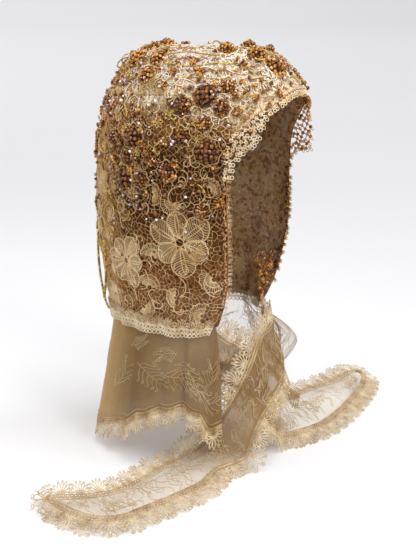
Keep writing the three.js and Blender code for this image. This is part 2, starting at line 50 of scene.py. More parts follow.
crown_to_hem = 0.247
lace_top = 0.0008
ground_thickness = 0.0004

# Shares of the sizes above, one row for each section of the cap, from the crown down.
section_drop = np.array([0, 0.012, 0.048, 0.12, 0.192, 0.268, 0.376, 0.5, 0.628, 0.716, 0.832, 0.932, 1.0])
section_side = np.array([0, 0.46, 0.64, 0.80, 0.90, 0.955, 0.99, 1.0, 1.0, 0.987, 0.961, 0.922, 0.90])
section_back = np.array([0, 0.45, 0.66, 0.79, 0.88, 0.94, 0.98, 1.0, 1.0, 0.993, 0.963, 0.92, 0.885])
section_front = np.array([0, 0.45, 0.65, 0.81, 0.925, 0.98, 1.0, 1.0, 0.967, 0.90, 0.742, 0.59, 0.44])

pleat_angle = np.array([-128, -104, -82, -60, -34, -8, 20, 46, 63, 83, 104, 128])
pleat_share = np.array([0.5, 0.9, 0.7, 1.0, 0.7, 0.8, 0.6, 1.0, 0.8, 1.0, 0.8, 0.7])
pleat_depth = 0.004
pleat_half_angle = 8
pleat_start = 0.4


def ease(share):
    share = np.clip(share, 0, 1)
    return share * share * (3 - 2 * share)


def through(values, place):
    """A smooth line through the values of a table, read at a place counted in rows."""
    low, high = values[:1], values[-1:]
    rows = np.concatenate([2 * low - values[1:2], values, 2 * high - values[-2:-1]])
    row = np.clip(np.floor(place).astype(int), 0, len(values) - 2)
    share = place - row
    before, here, after, beyond = (rows[row + step] for step in range(4))
    return 0.5 * (
        2 * here
        + (after - before) * share
        + (2 * before - 5 * here + 4 * after - beyond) * share**2
        + (3 * here - before - 3 * after + beyond) * share**3
    )


crown_rows = np.linspace(0, len(section_drop) - 1, 1201)
crown_drops = np.maximum.accumulate(through(section_drop, crown_rows))


def pleat_inset(angle, drop):
    grown = ease((drop - pleat_start) / (1 - pleat_start))
    away = np.abs(angle[..., None] - pleat_angle) / pleat_half_angle
    return grown * pleat_depth * (pleat_share * (1 - ease(away))).sum(axis=-1)


def hood_point(angle, drop, lift=0.0):
    """A point of the lace: degrees from the middle of the back towards the hood's right side, and
    the share of the way from the crown to the hem."""
    angle, drop, lift = np.broadcast_arrays(np.asarray(angle, float), np.asarray(drop, float), lift)
    row = np.interp(drop, crown_drops, crown_rows)
    side = half_width * through(section_side, row)
    back = back_reach * through(section_back, row)
    front = front_reach * through(section_front, row)
    turn = np.radians(angle)
    x = -side * np.sin(turn)
    y = np.where(np.cos(turn) > 0, back, front) * np.cos(turn)
    reach = np.maximum(np.hypot(x, y), 1e-6)
    grow = (reach + np.where(reach > 0.001, lift - pleat_inset(angle, drop), 0)) / reach
    return np.stack([x * grow, y * grow, lace_top - crown_to_hem * drop], axis=-1)


# The opening's edge seen from the side, from its top down to the hem's corner.
edge_forward = np.array([0.853, 0.80, 0.69, 0.545, 0.512, 0.508, 0.515, 0.50, 0.465, 0.405, 0.32])
edge_drop = np.array([0.148, 0.188, 0.226, 0.32, 0.42, 0.52, 0.63, 0.724, 0.832, 0.932, 1.01])
edge_places = np.linspace(0, len(edge_drop) - 1, 121)
edge_y = -front_reach * through(edge_forward, edge_places)
edge_z = -crown_to_hem * through(edge_drop, edge_places)


def on_lace(points, margin=0.0):
    """Which points are on the lace and not in the opening."""
    line = np.interp(-points[..., 2], -edge_z, edge_y)
    return (points[..., 2] > edge_z[0] + margin) | (points[..., 1] > line + margin)


def grid_faces(rows, columns, closed=False):
    width = columns if closed else columns + 1
    row, column = np.meshgrid(np.arange(rows), np.arange(columns), indexing="ij")
    after = (column + 1) % width
    quads = [row * width + column, row * width + after, (row + 1) * width + after, (row + 1) * width + column]
    return np.stack(quads, axis=-1).reshape(-1, 4)


def new_mesh(name, points, faces, shaded_smooth=True):
    points = np.ascontiguousarray(points, dtype=np.float32).reshape(-1, 3)
    faces = np.ascontiguousarray(faces, dtype=np.int32)
    mesh = bpy.data.meshes.new(name)
    mesh.vertices.add(len(points))
    mesh.vertices.foreach_set("co", points.ravel())
    mesh.loops.add(faces.size)
    mesh.loops.foreach_set("vertex_index", faces.ravel())
    mesh.polygons.add(len(faces))
    mesh.polygons.foreach_set("loop_start", np.arange(0, faces.size, faces.shape[1], dtype=np.int32))
    mesh.update(calc_edges=True)
    mesh.polygons.foreach_set("use_smooth", np.full(len(faces), shaded_smooth))
    return mesh


def sew_on(name, shape, material, slot, *stands_for, smooth=True):
    """A piece of the model from points and faces, or from a mesh that is ready."""
    mesh = shape if isinstance(shape, bpy.types.Mesh) else new_mesh(name, *shape, smooth)
    piece = bpy.data.objects.new(name, mesh)
    bpy.context.scene.collection.objects.link(piece)
    mesh.materials.append(material)
    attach(piece, "root")
    if stands_for:
        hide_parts(*stands_for)
    return piece


def cloth(name, roughness, sheen=0.0, alpha=1.0, shine=0.25):
    """A new material, its node tree and its shader."""
    material = bpy.data.materials.new(name)
    material.use_nodes = True
    nodes = material.node_tree.nodes
    shader = nodes["Principled BSDF"]
    shader.inputs["Roughness"].default_value = roughness
    shader.inputs["Specular IOR Level"].default_value = shine
    shader.inputs["Sheen Weight"].default_value = sheen
    shader.inputs["Alpha"].default_value = alpha
    return material, material.node_tree, shader


def feed(tree, socket, value):
    """A socket gets a link where the value is another socket, or else the plain value."""
    if isinstance(value, bpy.types.NodeSocket):
        tree.links.new(value, socket)
    else:
        socket.default_value = value


def add_node(tree, kind, settings=(), **values):
    node = tree.nodes.new("ShaderNode" + kind)
    for key, value in dict(settings).items():
        setattr(node, key, value)
    for key, value in values.items():
        feed(tree, node.inputs[key.replace("_", " ")], value)
    return node


def maths(tree, operation, first, second, kind="Math", output="Value"):
    node = add_node(tree, kind, {"operation": operation})
    feed(tree, node.inputs[0], first)
    feed(tree, node.inputs[1], second)
    return node.outputs[output]


def mapped(tree, value, low, high, to_low=0.0, to_high=1.0):
    node = add_node(tree, "MapRange", Value=value, From_Min=low, From_Max=high, To_Min=to_low, To_Max=to_high)
    return node.outputs[0]


def linear(*screen_colour):
    """A colour as it looks on a screen, from 0 to 255, as the shader's light."""
    shares = [value / 255 for value in screen_colour]
    return (*(share / 12.92 if share < 0.0404 else ((share + 0.055) / 1.055) ** 2.4 for share in shares), 1.0)


def ramped(tree, share, steps):
    """A colour ramp: places from 0 to 1 with colours as they look on a screen."""
    ramp = add_node(tree, "ValToRGB", Fac=share)
    elements = ramp.color_ramp.elements
    while len(elements) < len(steps):
        elements.new(0.5)
    for element, (place, colour) in zip(elements, steps):
        element.position = place
        element.color = linear(*colour)
    return ramp.outputs["Color"]


def mixed(tree, blend, share, first, second):
    node = add_node(tree, "Mix", {"data_type": "RGBA", "blend_type": blend})
    for number, value in ((0, share), (6, first), (7, second)):
        feed(tree, node.inputs[number], value)
    return node.outputs[2]


def object_place(tree):
    return add_node(tree, "TexCoord").outputs["Object"]


def axes_of(tree, place):
    return add_node(tree, "SeparateXYZ", Vector=place).outputs


def net_lines(tree, place, scale):
    """How far each place is from the threads of a fine net."""
    cells = add_node(tree, "TexVoronoi", {"feature": "DISTANCE_TO_EDGE"}, Vector=place, Scale=scale)
    return cells.outputs["Distance"]


def dressed(tree, shader, colour, height, strength, distance):
    """The shader with its colour and a fine relief."""
    bump = add_node(tree, "Bump", Height=height, Strength=strength, Distance=distance)
    feed(tree, shader.inputs["Base Color"], colour)
    feed(tree, shader.inputs["Normal"], bump.outputs["Normal"])


def by_height(tree, place, steps):
    """Colours from the hem (0) to the crown (1), with an uneven line between them."""
    height = mapped(tree, axes_of(tree, place)["Z"], -crown_to_hem, 0.0)
    patches = add_node(tree, "TexNoise", Vector=place, Scale=38, Detail=3, Roughness=0.6)
    sway = mapped(tree, patches.outputs["Fac"], 0.0, 1.0, -0.12, 0.12)
    return ramped(tree, maths(tree, "ADD", height, sway), steps)


def ground_lace():
    """Net lace with small uneven patches of work. Its colour carries painted shade in a brown band down the
    hood, and painted light that makes it paler at the back and on its inner side.
    """
    material, tree, shader = cloth("net lace ground", 0.85, alpha=0.84, shine=0.1)
    place = object_place(tree)
    # Painted shade: the dark brown band part way down stands for the shade inside the hollow hood.
    base = by_height(tree, place, [
        (0.0, (164, 114, 58)), (0.25, (134, 86, 36)), (0.42, (98, 56, 18)), (0.62, (80, 44, 12)),
        (0.74, (160, 110, 52)), (0.82, (246, 224, 188)), (1.0, (255, 252, 244)),
    ])
    # Painted light: the back of the hood is made paler and warmer in colour.
    back = mapped(tree, axes_of(tree, place)["Y"], 0.045, 0.085, to_high=0.9)
    painted_light_back = mixed(tree, "MIX", back, base, linear(244, 192, 120))
    # Painted light: the inner face is made paler than the outer face, against the shade inside the hood.
    outwards = maths(tree, "SUBTRACT", place, (0.0, 0.0, -0.14), "VectorMath", "Vector")
    normal = add_node(tree, "NewGeometry").outputs["Normal"]
    facing = maths(tree, "DOT_PRODUCT", outwards, normal, "VectorMath")
    inside = mapped(tree, facing, 0.01, -0.01, to_high=0.8)
    painted_light_inside = mixed(tree, "MIX", inside, painted_light_back, linear(226, 190, 140))
    cells = add_node(tree, "TexVoronoi", Vector=place, Scale=330)
    tones = [(0.2, (140, 92, 48)), (0.4, (224, 200, 166)), (0.6, (255, 253, 248))]
    patched = mixed(tree, "MULTIPLY", 0.75, painted_light_inside, ramped(tree, cells.outputs["Color"], tones))
    thread = ramped(tree, net_lines(tree, place, 620), [(0.05, (255, 255, 255)), (0.19, (92, 84, 74))])
    dressed(tree, shader, mixed(tree, "MULTIPLY", 0.6, patched, thread), thread, 0.5, 0.0006)
    return material


ground_columns, ground_rows = 120, 64
angles = 180 - 360 * np.arange(ground_columns) / ground_columns
rows = np.linspace(0, len(section_drop) - 1, ground_rows + 1)
drops = np.interp(rows, crown_rows, crown_drops)
cap_points = hood_point(angles[None, :], drops[:, None])
cap_mesh = new_mesh("lace cap", cap_points, grid_faces(ground_rows, ground_columns, closed=True)[:, ::-1])
welder = bmesh.new()
welder.from_mesh(cap_mesh)
bmesh.ops.remove_doubles(welder, verts=welder.verts, dist=1e-5)
bmesh.ops.recalc_face_normals(welder, faces=welder.faces)
if welder.faces[0].normal.z < 0:
    bmesh.ops.reverse_faces(welder, faces=welder.faces)
hood_tree = BVHTree.FromBMesh(welder)
welder.to_mesh(cap_mesh)
welder.free()


def on_hood(points, lift=0.0):
    """The nearest places on the lace, lifted off it, and the lace's facing there."""
    points = np.asarray(points, float)
    flat = points.reshape(-1, 3)
    found = [hood_tree.find_nearest(Vector(point)) for point in flat]
    places = np.array([hit[0] for hit in found])
    facing = np.array([hit[1] for hit in found])
    lifts = np.broadcast_to(np.asarray(lift, float), points.shape[:-1]).reshape(-1, 1)
    return (places + facing * lifts).reshape(points.shape), facing.reshape(points.shape)


def shell_with_opening(mesh):
    """The cap's net given its thickness and cut open in front."""
    shell = bpy.data.objects.new("shell", mesh)
    bpy.context.scene.collection.objects.link(shell)
    wall = shell.modifiers.new("wall", "SOLIDIFY")
    wall.thickness = ground_thickness
    wall.offset = 0
    beyond = 2 * front_reach
    below = -2 * beyond
    profile = [(-beyond, edge_z[0]), *zip(edge_y, edge_z), (edge_y[-1], below), (-beyond, below)]
    knife = bmesh.new()
    near = [knife.verts.new((-beyond, y, z)) for y, z in profile]
    far = [knife.verts.new((beyond, y, z)) for y, z in profile]
    knife.faces.new(near)
    knife.faces.new(far[::-1])
    for i in range(len(near)):
        after = (i + 1) % len(near)
        knife.faces.new((near[i], far[i], far[after], near[after]))
    bmesh.ops.recalc_face_normals(knife, faces=knife.faces)
    knife_mesh = bpy.data.meshes.new("knife")
    knife.to_mesh(knife_mesh)
    cutter = bpy.data.objects.new("knife", knife_mesh)
    bpy.context.scene.collection.objects.link(cutter)
    cut = shell.modifiers.new("cut", "BOOLEAN")
    cut.operation = "DIFFERENCE"
    cut.object = cutter
    result = bpy.data.meshes.new_from_object(shell.evaluated_get(bpy.context.evaluated_depsgraph_get()))
    bpy.data.objects.remove(shell)
    bpy.data.objects.remove(cutter)
    return result


lace_ground = sew_on("lace_ground", shell_with_opening(cap_mesh), ground_lace(), "lace", "lace_hood")
for face in lace_ground.data.polygons:
    face.use_smooth = True

# Net threads
# Cream cotton threads cross the ground in a loose net of uneven meshes. They lie on the ground
# and are caught down to it where they meet.
mesh_width = 0.0023
thread_radius = 0.00028
on_the_crown = 0.16
crown_threads_kept = 0.35
chance = np.random.default_rng(11)


def scattered(count, spacing):
    """Places spread evenly over the lace, no two nearer than the spacing."""
    drop = chance.uniform(0, 1, count)
    angle = chance.uniform(-180, 180, count)
    reach = np.interp(drop, [0, 0.012, 0.05, 0.2, 1.0], [0.05, 0.55, 0.75, 0.97, 1.0])
    crowned = chance.uniform(0, 1, count) < on_the_crown
    drop = np.where(crowned, 0.05 * chance.uniform(0, 1, count) ** 2.2, drop)
    kept = chance.uniform(0, 1, count) < np.where(crowned, 1, reach)
    points = hood_point(angle, drop)[kept]
    points = points[on_lace(points, 0.002)]
    cells, chosen = {}, []
    for point in points:
        cell = tuple(np.floor(point / spacing).astype(int))
        near = (
            cells.get((cell[0] + i, cell[1] + j, cell[2] + k), ())
            for i in (-1, 0, 1) for j in (-1, 0, 1) for k in (-1, 0, 1)
        )
        if all(math.dist(point, other) > spacing for group in near for other in group):
            cells.setdefault(cell, []).append(tuple(point))
            chosen.append(point)
    return np.array(chosen)


def joined_neighbours(points, spacing):
    """Pairs of places with no third place between them, so that the threads make open meshes."""
    tree = KDTree(len(points))
    for number, point in enumerate(points):
        tree.insert(point, number)
    tree.balance()
    pairs = []
    for number, point in enumerate(points):
        near = [(other, far) for _, other, far in tree.find_n(point, 12) if other != number]
        for other, far in near:
            if other < number or far > 3 * spacing:
                continue
            between = any(
                third != other and to_third < far and math.dist(points[other], points[third]) < far
                for third, to_third in near
            )
            if not between:
                pairs.append((number, other))
    return np.array(pairs)


def unit(ways):
    return ways / np.maximum(np.linalg.norm(ways, axis=-1, keepdims=True), 1e-9)


def wrap(routes, facing, radius, sides=4, closed=False, flat=1.0):
    """Threads along many routes of equal length: their points and faces."""
    routes = np.asarray(routes, float)
    if closed:
        along = np.roll(routes, -1, axis=1) - np.roll(routes, 1, axis=1)
    else:
        along = np.gradient(routes, axis=1)
    along = unit(along)
    across = unit(np.cross(along, facing))
    up = np.cross(across, along) * flat
    turns = 2 * np.pi * (np.arange(sides) + 0.5) / sides
    radius = np.broadcast_to(np.asarray(radius, float), routes.shape[:2])[..., None, None]
    ring = np.cos(turns)[:, None] * across[:, :, None] + np.sin(turns)[:, None] * up[:, :, None]
    points = routes[:, :, None] + radius * ring
    number = np.arange(points[..., 0].size).reshape(points.shape[:3])
    here, after = (number, np.roll(number, -1, axis=1)) if closed else (number[:, :-1], number[:, 1:])
    quads = [here, after, np.roll(after, -1, axis=2), np.roll(here, -1, axis=2)]
    return points.reshape(-1, 3), np.stack(quads, axis=-1).reshape(-1, 4)


def gathered(parts):
    """Several lots of points and faces as one."""
    points, faces, count = [], [], 0
    for some_points, some_faces in parts:
        points.append(some_points)
        faces.append(some_faces + count)
        count += len(some_points)
    return np.concatenate(points), np.concatenate(faces)


def patchy(tree, steps, **noise):
    """A colour that wanders between the steps in soft patches."""
    return ramped(tree, add_node(tree, "TexNoise", **noise).outputs["Fac"], steps)


def slanting_lines(tree, **wave):
    return add_node(tree, "TexWave", {"bands_direction": "DIAGONAL"}, **wave).outputs["Fac"]


def thread_cotton(name, light, dark, roughness=0.48, sheen=0.12, shaded_down_the_hood=False):
    """Twisted thread: its colour varies along the lace and its surface shows the twist. Down the hood it can
    be given painted shade, darker in the beaded band than over the crown."""
    material, tree, shader = cloth(name, roughness, sheen=sheen, shine=0.5)
    place = object_place(tree)
    tones = [(0.32, dark), (0.66, light)]
    colour = patchy(tree, tones, Vector=place, Scale=90, Detail=4, Roughness=0.65)
    if shaded_down_the_hood:
        # Painted shade: the thread is darkened in the same band as the ground's painted shade.
        painted_shade_tint = by_height(tree, place, [
            (0.0, (246, 232, 204)), (0.25, (240, 222, 190)), (0.42, (222, 198, 156)),
            (0.66, (204, 176, 130)), (0.76, (248, 238, 214)), (0.84, (255, 255, 255)),
        ])
        colour = mixed(tree, "MULTIPLY", 1.0, colour, painted_shade_tint)
    twist = slanting_lines(tree, Vector=place, Scale=900, Distortion=1.5)
    dressed(tree, shader, colour, twist, 0.35, 0.0003)
    return material


cream_cotton = thread_cotton("cream cotton thread", (255, 250, 232), (198, 156, 96), shaded_down_the_hood=True)

net_places = scattered(90000, mesh_width)
net_pairs = joined_neighbours(net_places, mesh_width)
open_crown = net_places[net_pairs[:, 0], 2] > -0.12 * crown_to_hem
net_pairs = net_pairs[~open_crown | (chance.uniform(0, 1, len(net_pairs)) < crown_threads_kept)]
net_routes, net_facing = on_hood(net_places[net_pairs], 0.0001)
net_radius = thread_radius * chance.uniform(0.8, 1.35, (len(net_pairs), 1))
sew_on("net_threads", wrap(net_routes, net_facing, net_radius, sides=3), cream_cotton, "lace")

# Satin flowers
# Large cream flowers are worked in the lace: each petal is a corded outline filled with slanting satin
# stitches over a thin bed, whose dark colour is painted shade between the stitches, with one cord down its
# middle, and a small ring of cord closes the heart.
petal_cord = 0.00050
stitch_radius = 0.0003
flower_petal = 0.0255
petal_share = 0.70
satin_lift = 0.0011
heart_share = 0.13
vein_shares = (0.16, 0.92)

# Columns: degrees from the middle of the back, drop, size as a share, first turn in degrees, petals.
flower_places = (
    (98, 0.672, 1.14, 8, 6), (64, 0.770, 0.92, 30, 6), (28, 0.650, 0.95, 10, 6),
    (-10, 0.770, 0.92, 0, 6), (-48, 0.660, 0.95, 20, 6), (-84, 0.770, 0.92, 40, 6),
    (-112, 0.640, 0.70, 15, 5), (44, 0.925, 0.55, 25, 5), (10, 0.935, 0.52, 5, 5),
    (-32, 0.905, 0.60, 31, 5), (-62, 0.930, 0.52, 9, 5), (-104, 0.910, 0.55, 22, 5),
    (44, 0.490, 0.58, 14, 5), (4, 0.480, 0.66, 26, 6), (-32, 0.470, 0.60, 3, 5),
    (-68, 0.510, 0.60, 18, 5), (-100, 0.470, 0.50, 29, 5),
)


def circle(turns):
    return np.stack([np.cos(turns), np.sin(turns)], axis=-1)


def tangent_frame(angle, drop):
    """The lace at one place: the spot, a way across, the way up and the way out."""
    place, facing = on_hood(hood_point(angle, drop)[None], 0.0)
    normal = facing[0]
    down = np.array([0, 0, -1.0]) if abs(normal[2]) < 0.97 else np.array([0, 1.0, 0])
    across = unit(np.cross(down, normal))
    return place[0], across, np.cross(across, normal), normal


def laid(frame_at, flat, lift):
    """Flat places about a spot of the lace, wrapped onto it."""
    spot, across, upward, _ = frame_at
    return on_hood(spot + flat[..., :1] * across + flat[..., 1:] * upward, lift)


def turned(flat, turn):
    return np.stack([
        flat[..., 0] * math.cos(turn) + flat[..., 1] * math.sin(turn),
        -flat[..., 0] * math.sin(turn) + flat[..., 1] * math.cos(turn),
    ], axis=-1)


def petal_half_width(share):
    return np.sin(np.pi * np.clip(share, 0, 1) ** 1.25) ** 0.65


outline_way = np.linspace(0, 2 * np.pi, 18, endpoint=False)
outline_share = (1 - np.cos(outline_way)) / 2
petal_outline = np.stack([
    np.sign(np.sin(outline_way)) * petal_half_width(outline_share) * 0.5, 0.14 + 0.86 * outline_share,
], axis=-1)
stitch_rows = np.linspace(-0.06, 0.86, 13)[:, None]
stitch_ends = np.array([-1.0, -0.5, 0.0, 0.5, 1.0])
stitch_share = stitch_rows + 0.16 * np.abs(stitch_ends) ** 1.5
petal_stitches = np.stack([
    petal_half_width(stitch_share) * 0.49 * stitch_ends, 0.14 + 0.86 * np.clip(stitch_share, 0, 1),
], axis=-1)
bed_share = np.linspace(0.02, 0.98, 8)
petal_shade_bed = np.stack([
    np.linspace(-0.5, 0.5, 4)[None, :] * petal_half_width(bed_share)[:, None] * np.ones((8, 4)),
    np.repeat(0.14 + 0.86 * bed_share[:, None], 4, axis=1),
], axis=-1)

cords, stitches, shade_beds = [], [], []
for angle, drop, size, first_turn, petals in flower_places:
    spot = tangent_frame(angle, drop)
    for petal in range(petals):
        turn = math.radians(first_turn) + 2 * math.pi * petal / petals
        reach = flower_petal * size * (1.12 if petal % 2 else 0.95)
        scale = np.array([reach * petal_share, reach])
        cords.append(laid(spot, turned(petal_outline * scale, turn), satin_lift + 0.0002))
        vein = petal_outline * scale * vein_shares
        cords.append(laid(spot, turned(vein, turn), satin_lift + 0.0002))
        shade_beds.append(laid(spot, turned(petal_shade_bed * scale, turn), satin_lift - 0.0004))
        places, facing = laid(spot, turned(petal_stitches * scale, turn), satin_lift + 0.0001)
        stitches.extend(zip(places, facing))
    heart = circle(outline_way) * flower_petal * size * heart_share
    cords.append(laid(spot, heart, satin_lift + 0.0004))


def all_on_lace(routes):
    return [(places, facing) for places, facing in routes if on_lace(places, 0.0015).all()]


def sew_cords(name, routes, radius, cotton, closed=False):
    """Cords along the routes that lie wholly on the lace, as one piece."""
    places, facing = (np.stack(column) for column in zip(*all_on_lace(routes)))
    sew_on(name, wrap(places, facing, radius, closed=closed, flat=0.85), cotton, "lace")


def satin(name, light, dark):
    """Satin stitch: glossy cotton laid side by side, with a fine slanting rib."""
    material, tree, shader = cloth(name, 0.5, sheen=0.1)
    place = object_place(tree)
    base = patchy(tree, [(0.35, dark), (0.65, light)], Vector=place, Scale=60, Detail=3)
    rib = slanting_lines(tree, Vector=place, Scale=420, Distortion=0.8)
    shade = ramped(tree, rib, [(0.1, (196, 190, 180)), (0.6, (255, 255, 255))])
    dressed(tree, shader, mixed(tree, "MULTIPLY", 0.8, base, shade), rib, 0.5, 0.0004)
    return material


stitch_light, stitch_dark = (255, 246, 220), (206, 170, 116)
stitch_cotton = thread_cotton("satin stitch thread", stitch_light, stitch_dark, 0.45, shaded_down_the_hood=True)
sew_cords("flower_cords", cords, petal_cord, stitch_cotton, closed=True)
sew_cords("flower_stitches", stitches, stitch_radius, stitch_cotton)
# Painted shade: the beds are dark so that shade shows between the stitches.
shade_bed_shapes = gathered((places.reshape(-1, 3), grid_faces(7, 3)) for places, _ in all_on_lace(shade_beds))
sew_on("flower_shade_beds", shade_bed_shapes, satin("satin bed with painted shade", (130, 92, 50), (92, 60, 28)), "lace")

# Fan leaves
# Half-round leaves fill the lace between the flowers. In each, fine threads spread from a foot to a
# scalloped cord, over two smaller cords inside it.
leaf_reach = 0.0125
leaf_spacing = 0.0145
leaf_thread_lift = 0.0008
leaf_cord_lift = 0.0009
leaf_thread = 0.00026
leaf_cord = 0.00042
leaf_turns = np.radians(np.linspace(-84, 84, 17))
leaf_ways = np.stack([np.sin(leaf_turns), np.cos(leaf_turns)], axis=-1)
rim_turns = np.radians(np.linspace(-92, 92, 25))
rim_ways = np.stack([np.sin(rim_turns), np.cos(rim_turns)], axis=-1)
scallop = 1 + 0.05 * np.cos(rim_turns * 14)


def fan_leaves(count, low, high, generator):
    """Threads and rims of leaves spread over a band of the lace."""
    spokes, rims, taken = [], [], []
    while len(taken) < count:
        angle, drop = generator.uniform(-142, 142), generator.uniform(low, high)
        spot = tangent_frame(angle, drop)
        crowded = any(math.dist(spot[0], other) < leaf_spacing for other in taken)
        if crowded or not on_lace(spot[0][None], 0.006)[0]:
            continue
        taken.append(tuple(spot[0]))
        turn = generator.uniform(0, 2 * math.pi)
        reach = leaf_reach * generator.uniform(0.7, 1.05)
        shares = np.array([0.16, 0.55, 0.96])[None, :, None]
        places, facing = laid(spot, turned(leaf_ways[:, None] * shares * reach, turn), leaf_thread_lift)
        spokes.extend(zip(places, facing))
        for share in (0.2, 0.6, 1.0):
            rim = rim_ways * (reach * share * scallop)[:, None]
            rims.append(laid(spot, turned(rim, turn), leaf_cord_lift))
    return spokes, rims


spokes, rims = fan_leaves(62, 0.40, 0.95, np.random.default_rng(29))
sew_cords("leaf_threads", spokes, leaf_thread, stitch_cotton)
sew_cords("leaf_cords", rims, leaf_cord, stitch_cotton)

# Cord scrolls
# Thicker cream cord wanders between the flowers in hooks and open rings, and closer together
# between the beads higher up. It is sewn down flat on the lace.
scroll_cord = 0.00046
scroll_lift = 0.0010
scroll_step = 0.0017
scroll_points = 15


def scrolls(count, low, high, generator):
    routes = []
    while len(routes) < count:
        angle = generator.uniform(-150, 180)
        drop = generator.uniform(low, high)
        spot = tangent_frame(angle, drop)
        if not on_lace(spot[0][None], 0.004)[0]:
            continue
        heading = generator.uniform(0, 2 * math.pi)
        bend = generator.choice((-1, 1)) * generator.uniform(0.04, 0.20)
        tighter = generator.uniform(1.06, 1.22)
        x, y, flat = 0.0, 0.0, []
        for _ in range(scroll_points):
            flat.append((x, y))
            heading += bend
            bend *= tighter
            x += scroll_step * math.cos(heading)
            y += scroll_step * math.sin(heading)
        routes.append(laid(spot, np.array(flat), scroll_lift))
    return routes


scroll_chance = np.random.default_rng(23)
scroll_routes = scrolls(300, 0.08, 0.62, scroll_chance) + scrolls(150, 0.01, 0.16, scroll_chance)
scroll_routes += scrolls(90, 0.62, 0.96, scroll_chance)
sew_cords("scroll_cords", scroll_routes, scroll_cord, cream_cotton)

# Gold leaves
# Small leaves are worked in gold cord over the crown and the back of the hood. Five of them fan
# out from one point, standing a little off the lace.
gold_leaf = 0.0062
gold_leaf_cord = 0.0004
gold_leaf_width = 0.42
gold_leaf_turn = math.radians(48)
gold_leaf_lift = 0.0022
gold_leaf_groups = 78
gold_leaf_spacing = 0.0085
gold_cotton = thread_cotton("gold cord", (222, 188, 100), (150, 112, 42))
leaf_chance = np.random.default_rng(37)
leaf_spots = []
while len(leaf_spots) < gold_leaf_groups:
    angle, drop = leaf_chance.uniform(-170, 180), leaf_chance.uniform(0.005, 0.42)
    place = hood_point(angle, drop)
    wanted = 1.0 if place[1] > 0 else 0.35
    crowded = any(math.dist(place, other) < gold_leaf_spacing for _, _, other in leaf_spots)
    if on_lace(place[None], 0.006)[0] and not crowded and leaf_chance.uniform() < wanted:
        leaf_spots.append((angle, drop, place))
leaf_loops = []
for angle, drop, _ in leaf_spots:
    spot = tangent_frame(angle, drop)
    first = leaf_chance.uniform(0, 2 * math.pi)
    for number in range(5):
        turn = first + gold_leaf_turn * (number - 2)
        size = gold_leaf * (1.0 - 0.12 * abs(number - 2))
        leaf = petal_outline * (size * gold_leaf_width, size)
        leaf_loops.append(laid(spot, turned(leaf, turn), gold_leaf_lift))
sew_cords("gold_leaves", leaf_loops, gold_leaf_cord, gold_cotton, closed=True)

# Crown stitching
# Gold cord runs in long arcs round the crown, sewn down on the net, and rows of short russet
# cotton stitches curve between the arcs.
gold_cord = 0.0005
gold_cord_lift = 0.0011
russet_stitch = 0.00042
russet_step = 0.0032
russet_lift = 0.0009
russet_cotton = thread_cotton("russet thread", (176, 108, 50), (124, 68, 26))

# Columns: drop, first angle, last angle.
gold_arcs = (
    (0.030, 60, 200), (0.066, 40, 178), (0.112, 20, 165), (0.170, -10, 150),
    (0.052, -160, -20), (0.125, -150, -10),
)
stitch_arcs = (
    (0.016, 20, 200), (0.046, 30, 185), (0.088, 20, 172), (0.138, -20, 160),
    (0.026, -160, -10), (0.086, -150, -15), (0.150, -140, -20), (0.210, -20, 120),
)


def line_length(line):
    return np.linalg.norm(np.diff(line, axis=0), axis=1).sum()


arc_share = np.linspace(0, 1, 70)
arc_lines = []
for drop, first, last in gold_arcs:
    line = hood_point(first + (last - first) * arc_share, drop + 0.005 * np.sin(arc_share * 19))
    arc_lines.append(on_hood(line, gold_cord_lift))
sew_cords("gold_arcs", arc_lines, gold_cord, gold_cotton)
arc_stitches = []
for drop, first, last in stitch_arcs:
    ring = hood_point(np.linspace(first, last, 40), drop)
    count = round(line_length(ring) / russet_step)
    for angle in np.linspace(first, last, count):
        low = drop + scroll_chance.uniform(-0.004, 0.004)
        slant = scroll_chance.uniform(-1.5, 1.5) / max(drop * 8, 0.3)
        ends = hood_point(angle + np.array([-slant, 0, slant]), low + np.array([-0.007, 0, 0.007]))
        arc_stitches.append(on_hood(ends, russet_lift))
sew_cords("arc_stitches", arc_stitches, russet_stitch, russet_cotton)

# Guipure edging motif
# All the borders are guipure: thick cotton embroidery worked on a ground that is washed away. Two
# darker rows of rings run along the cloth, and from them stand domed fans of looped petals, which
# end in small rings.
edging_cotton = thread_cotton("edging cotton", (240, 218, 176), (182, 146, 94))
chain_cotton = thread_cotton("edging chain cotton", (222, 192, 140), (150, 110, 56))
edging_thread = 0.00046
motif_pitch = 0.0175


def ellipses(centres, long_radius, short_radius, steps):
    """Closed loops in the flat, their long way along the edging."""
    angle = 2 * np.pi * np.arange(steps) / steps
    centres = np.asarray(centres, float)
    x = centres[:, :1] + long_radius * np.cos(angle)
    y = centres[:, 1:] + short_radius * np.sin(angle)
    return np.stack([x, y], axis=-1)


def around(turns, radius, centre):
    turns = np.asarray(turns, float)
    return np.stack([centre[0] + radius * np.sin(turns), centre[1] + radius * np.cos(turns)], axis=-1)


def looped_petals(turns, near, far, half_width, steps):
    """Drop-shaped loops round the heart of a fan, widest towards their far ends."""
    angle = 2 * np.pi * np.arange(steps) / steps
    out = (1 - np.cos(angle)) / 2
    side = half_width * np.sin(angle) * (0.45 + 0.55 * out)
    reach = near + (far[:, None] - near) * out
    turns = turns[:, None]
    x = fan_heart[0] + reach * np.sin(turns) + side * np.cos(turns)
    y = fan_heart[1] + reach * np.cos(turns) - side * np.sin(turns)
    return np.stack([x, y], axis=-1)


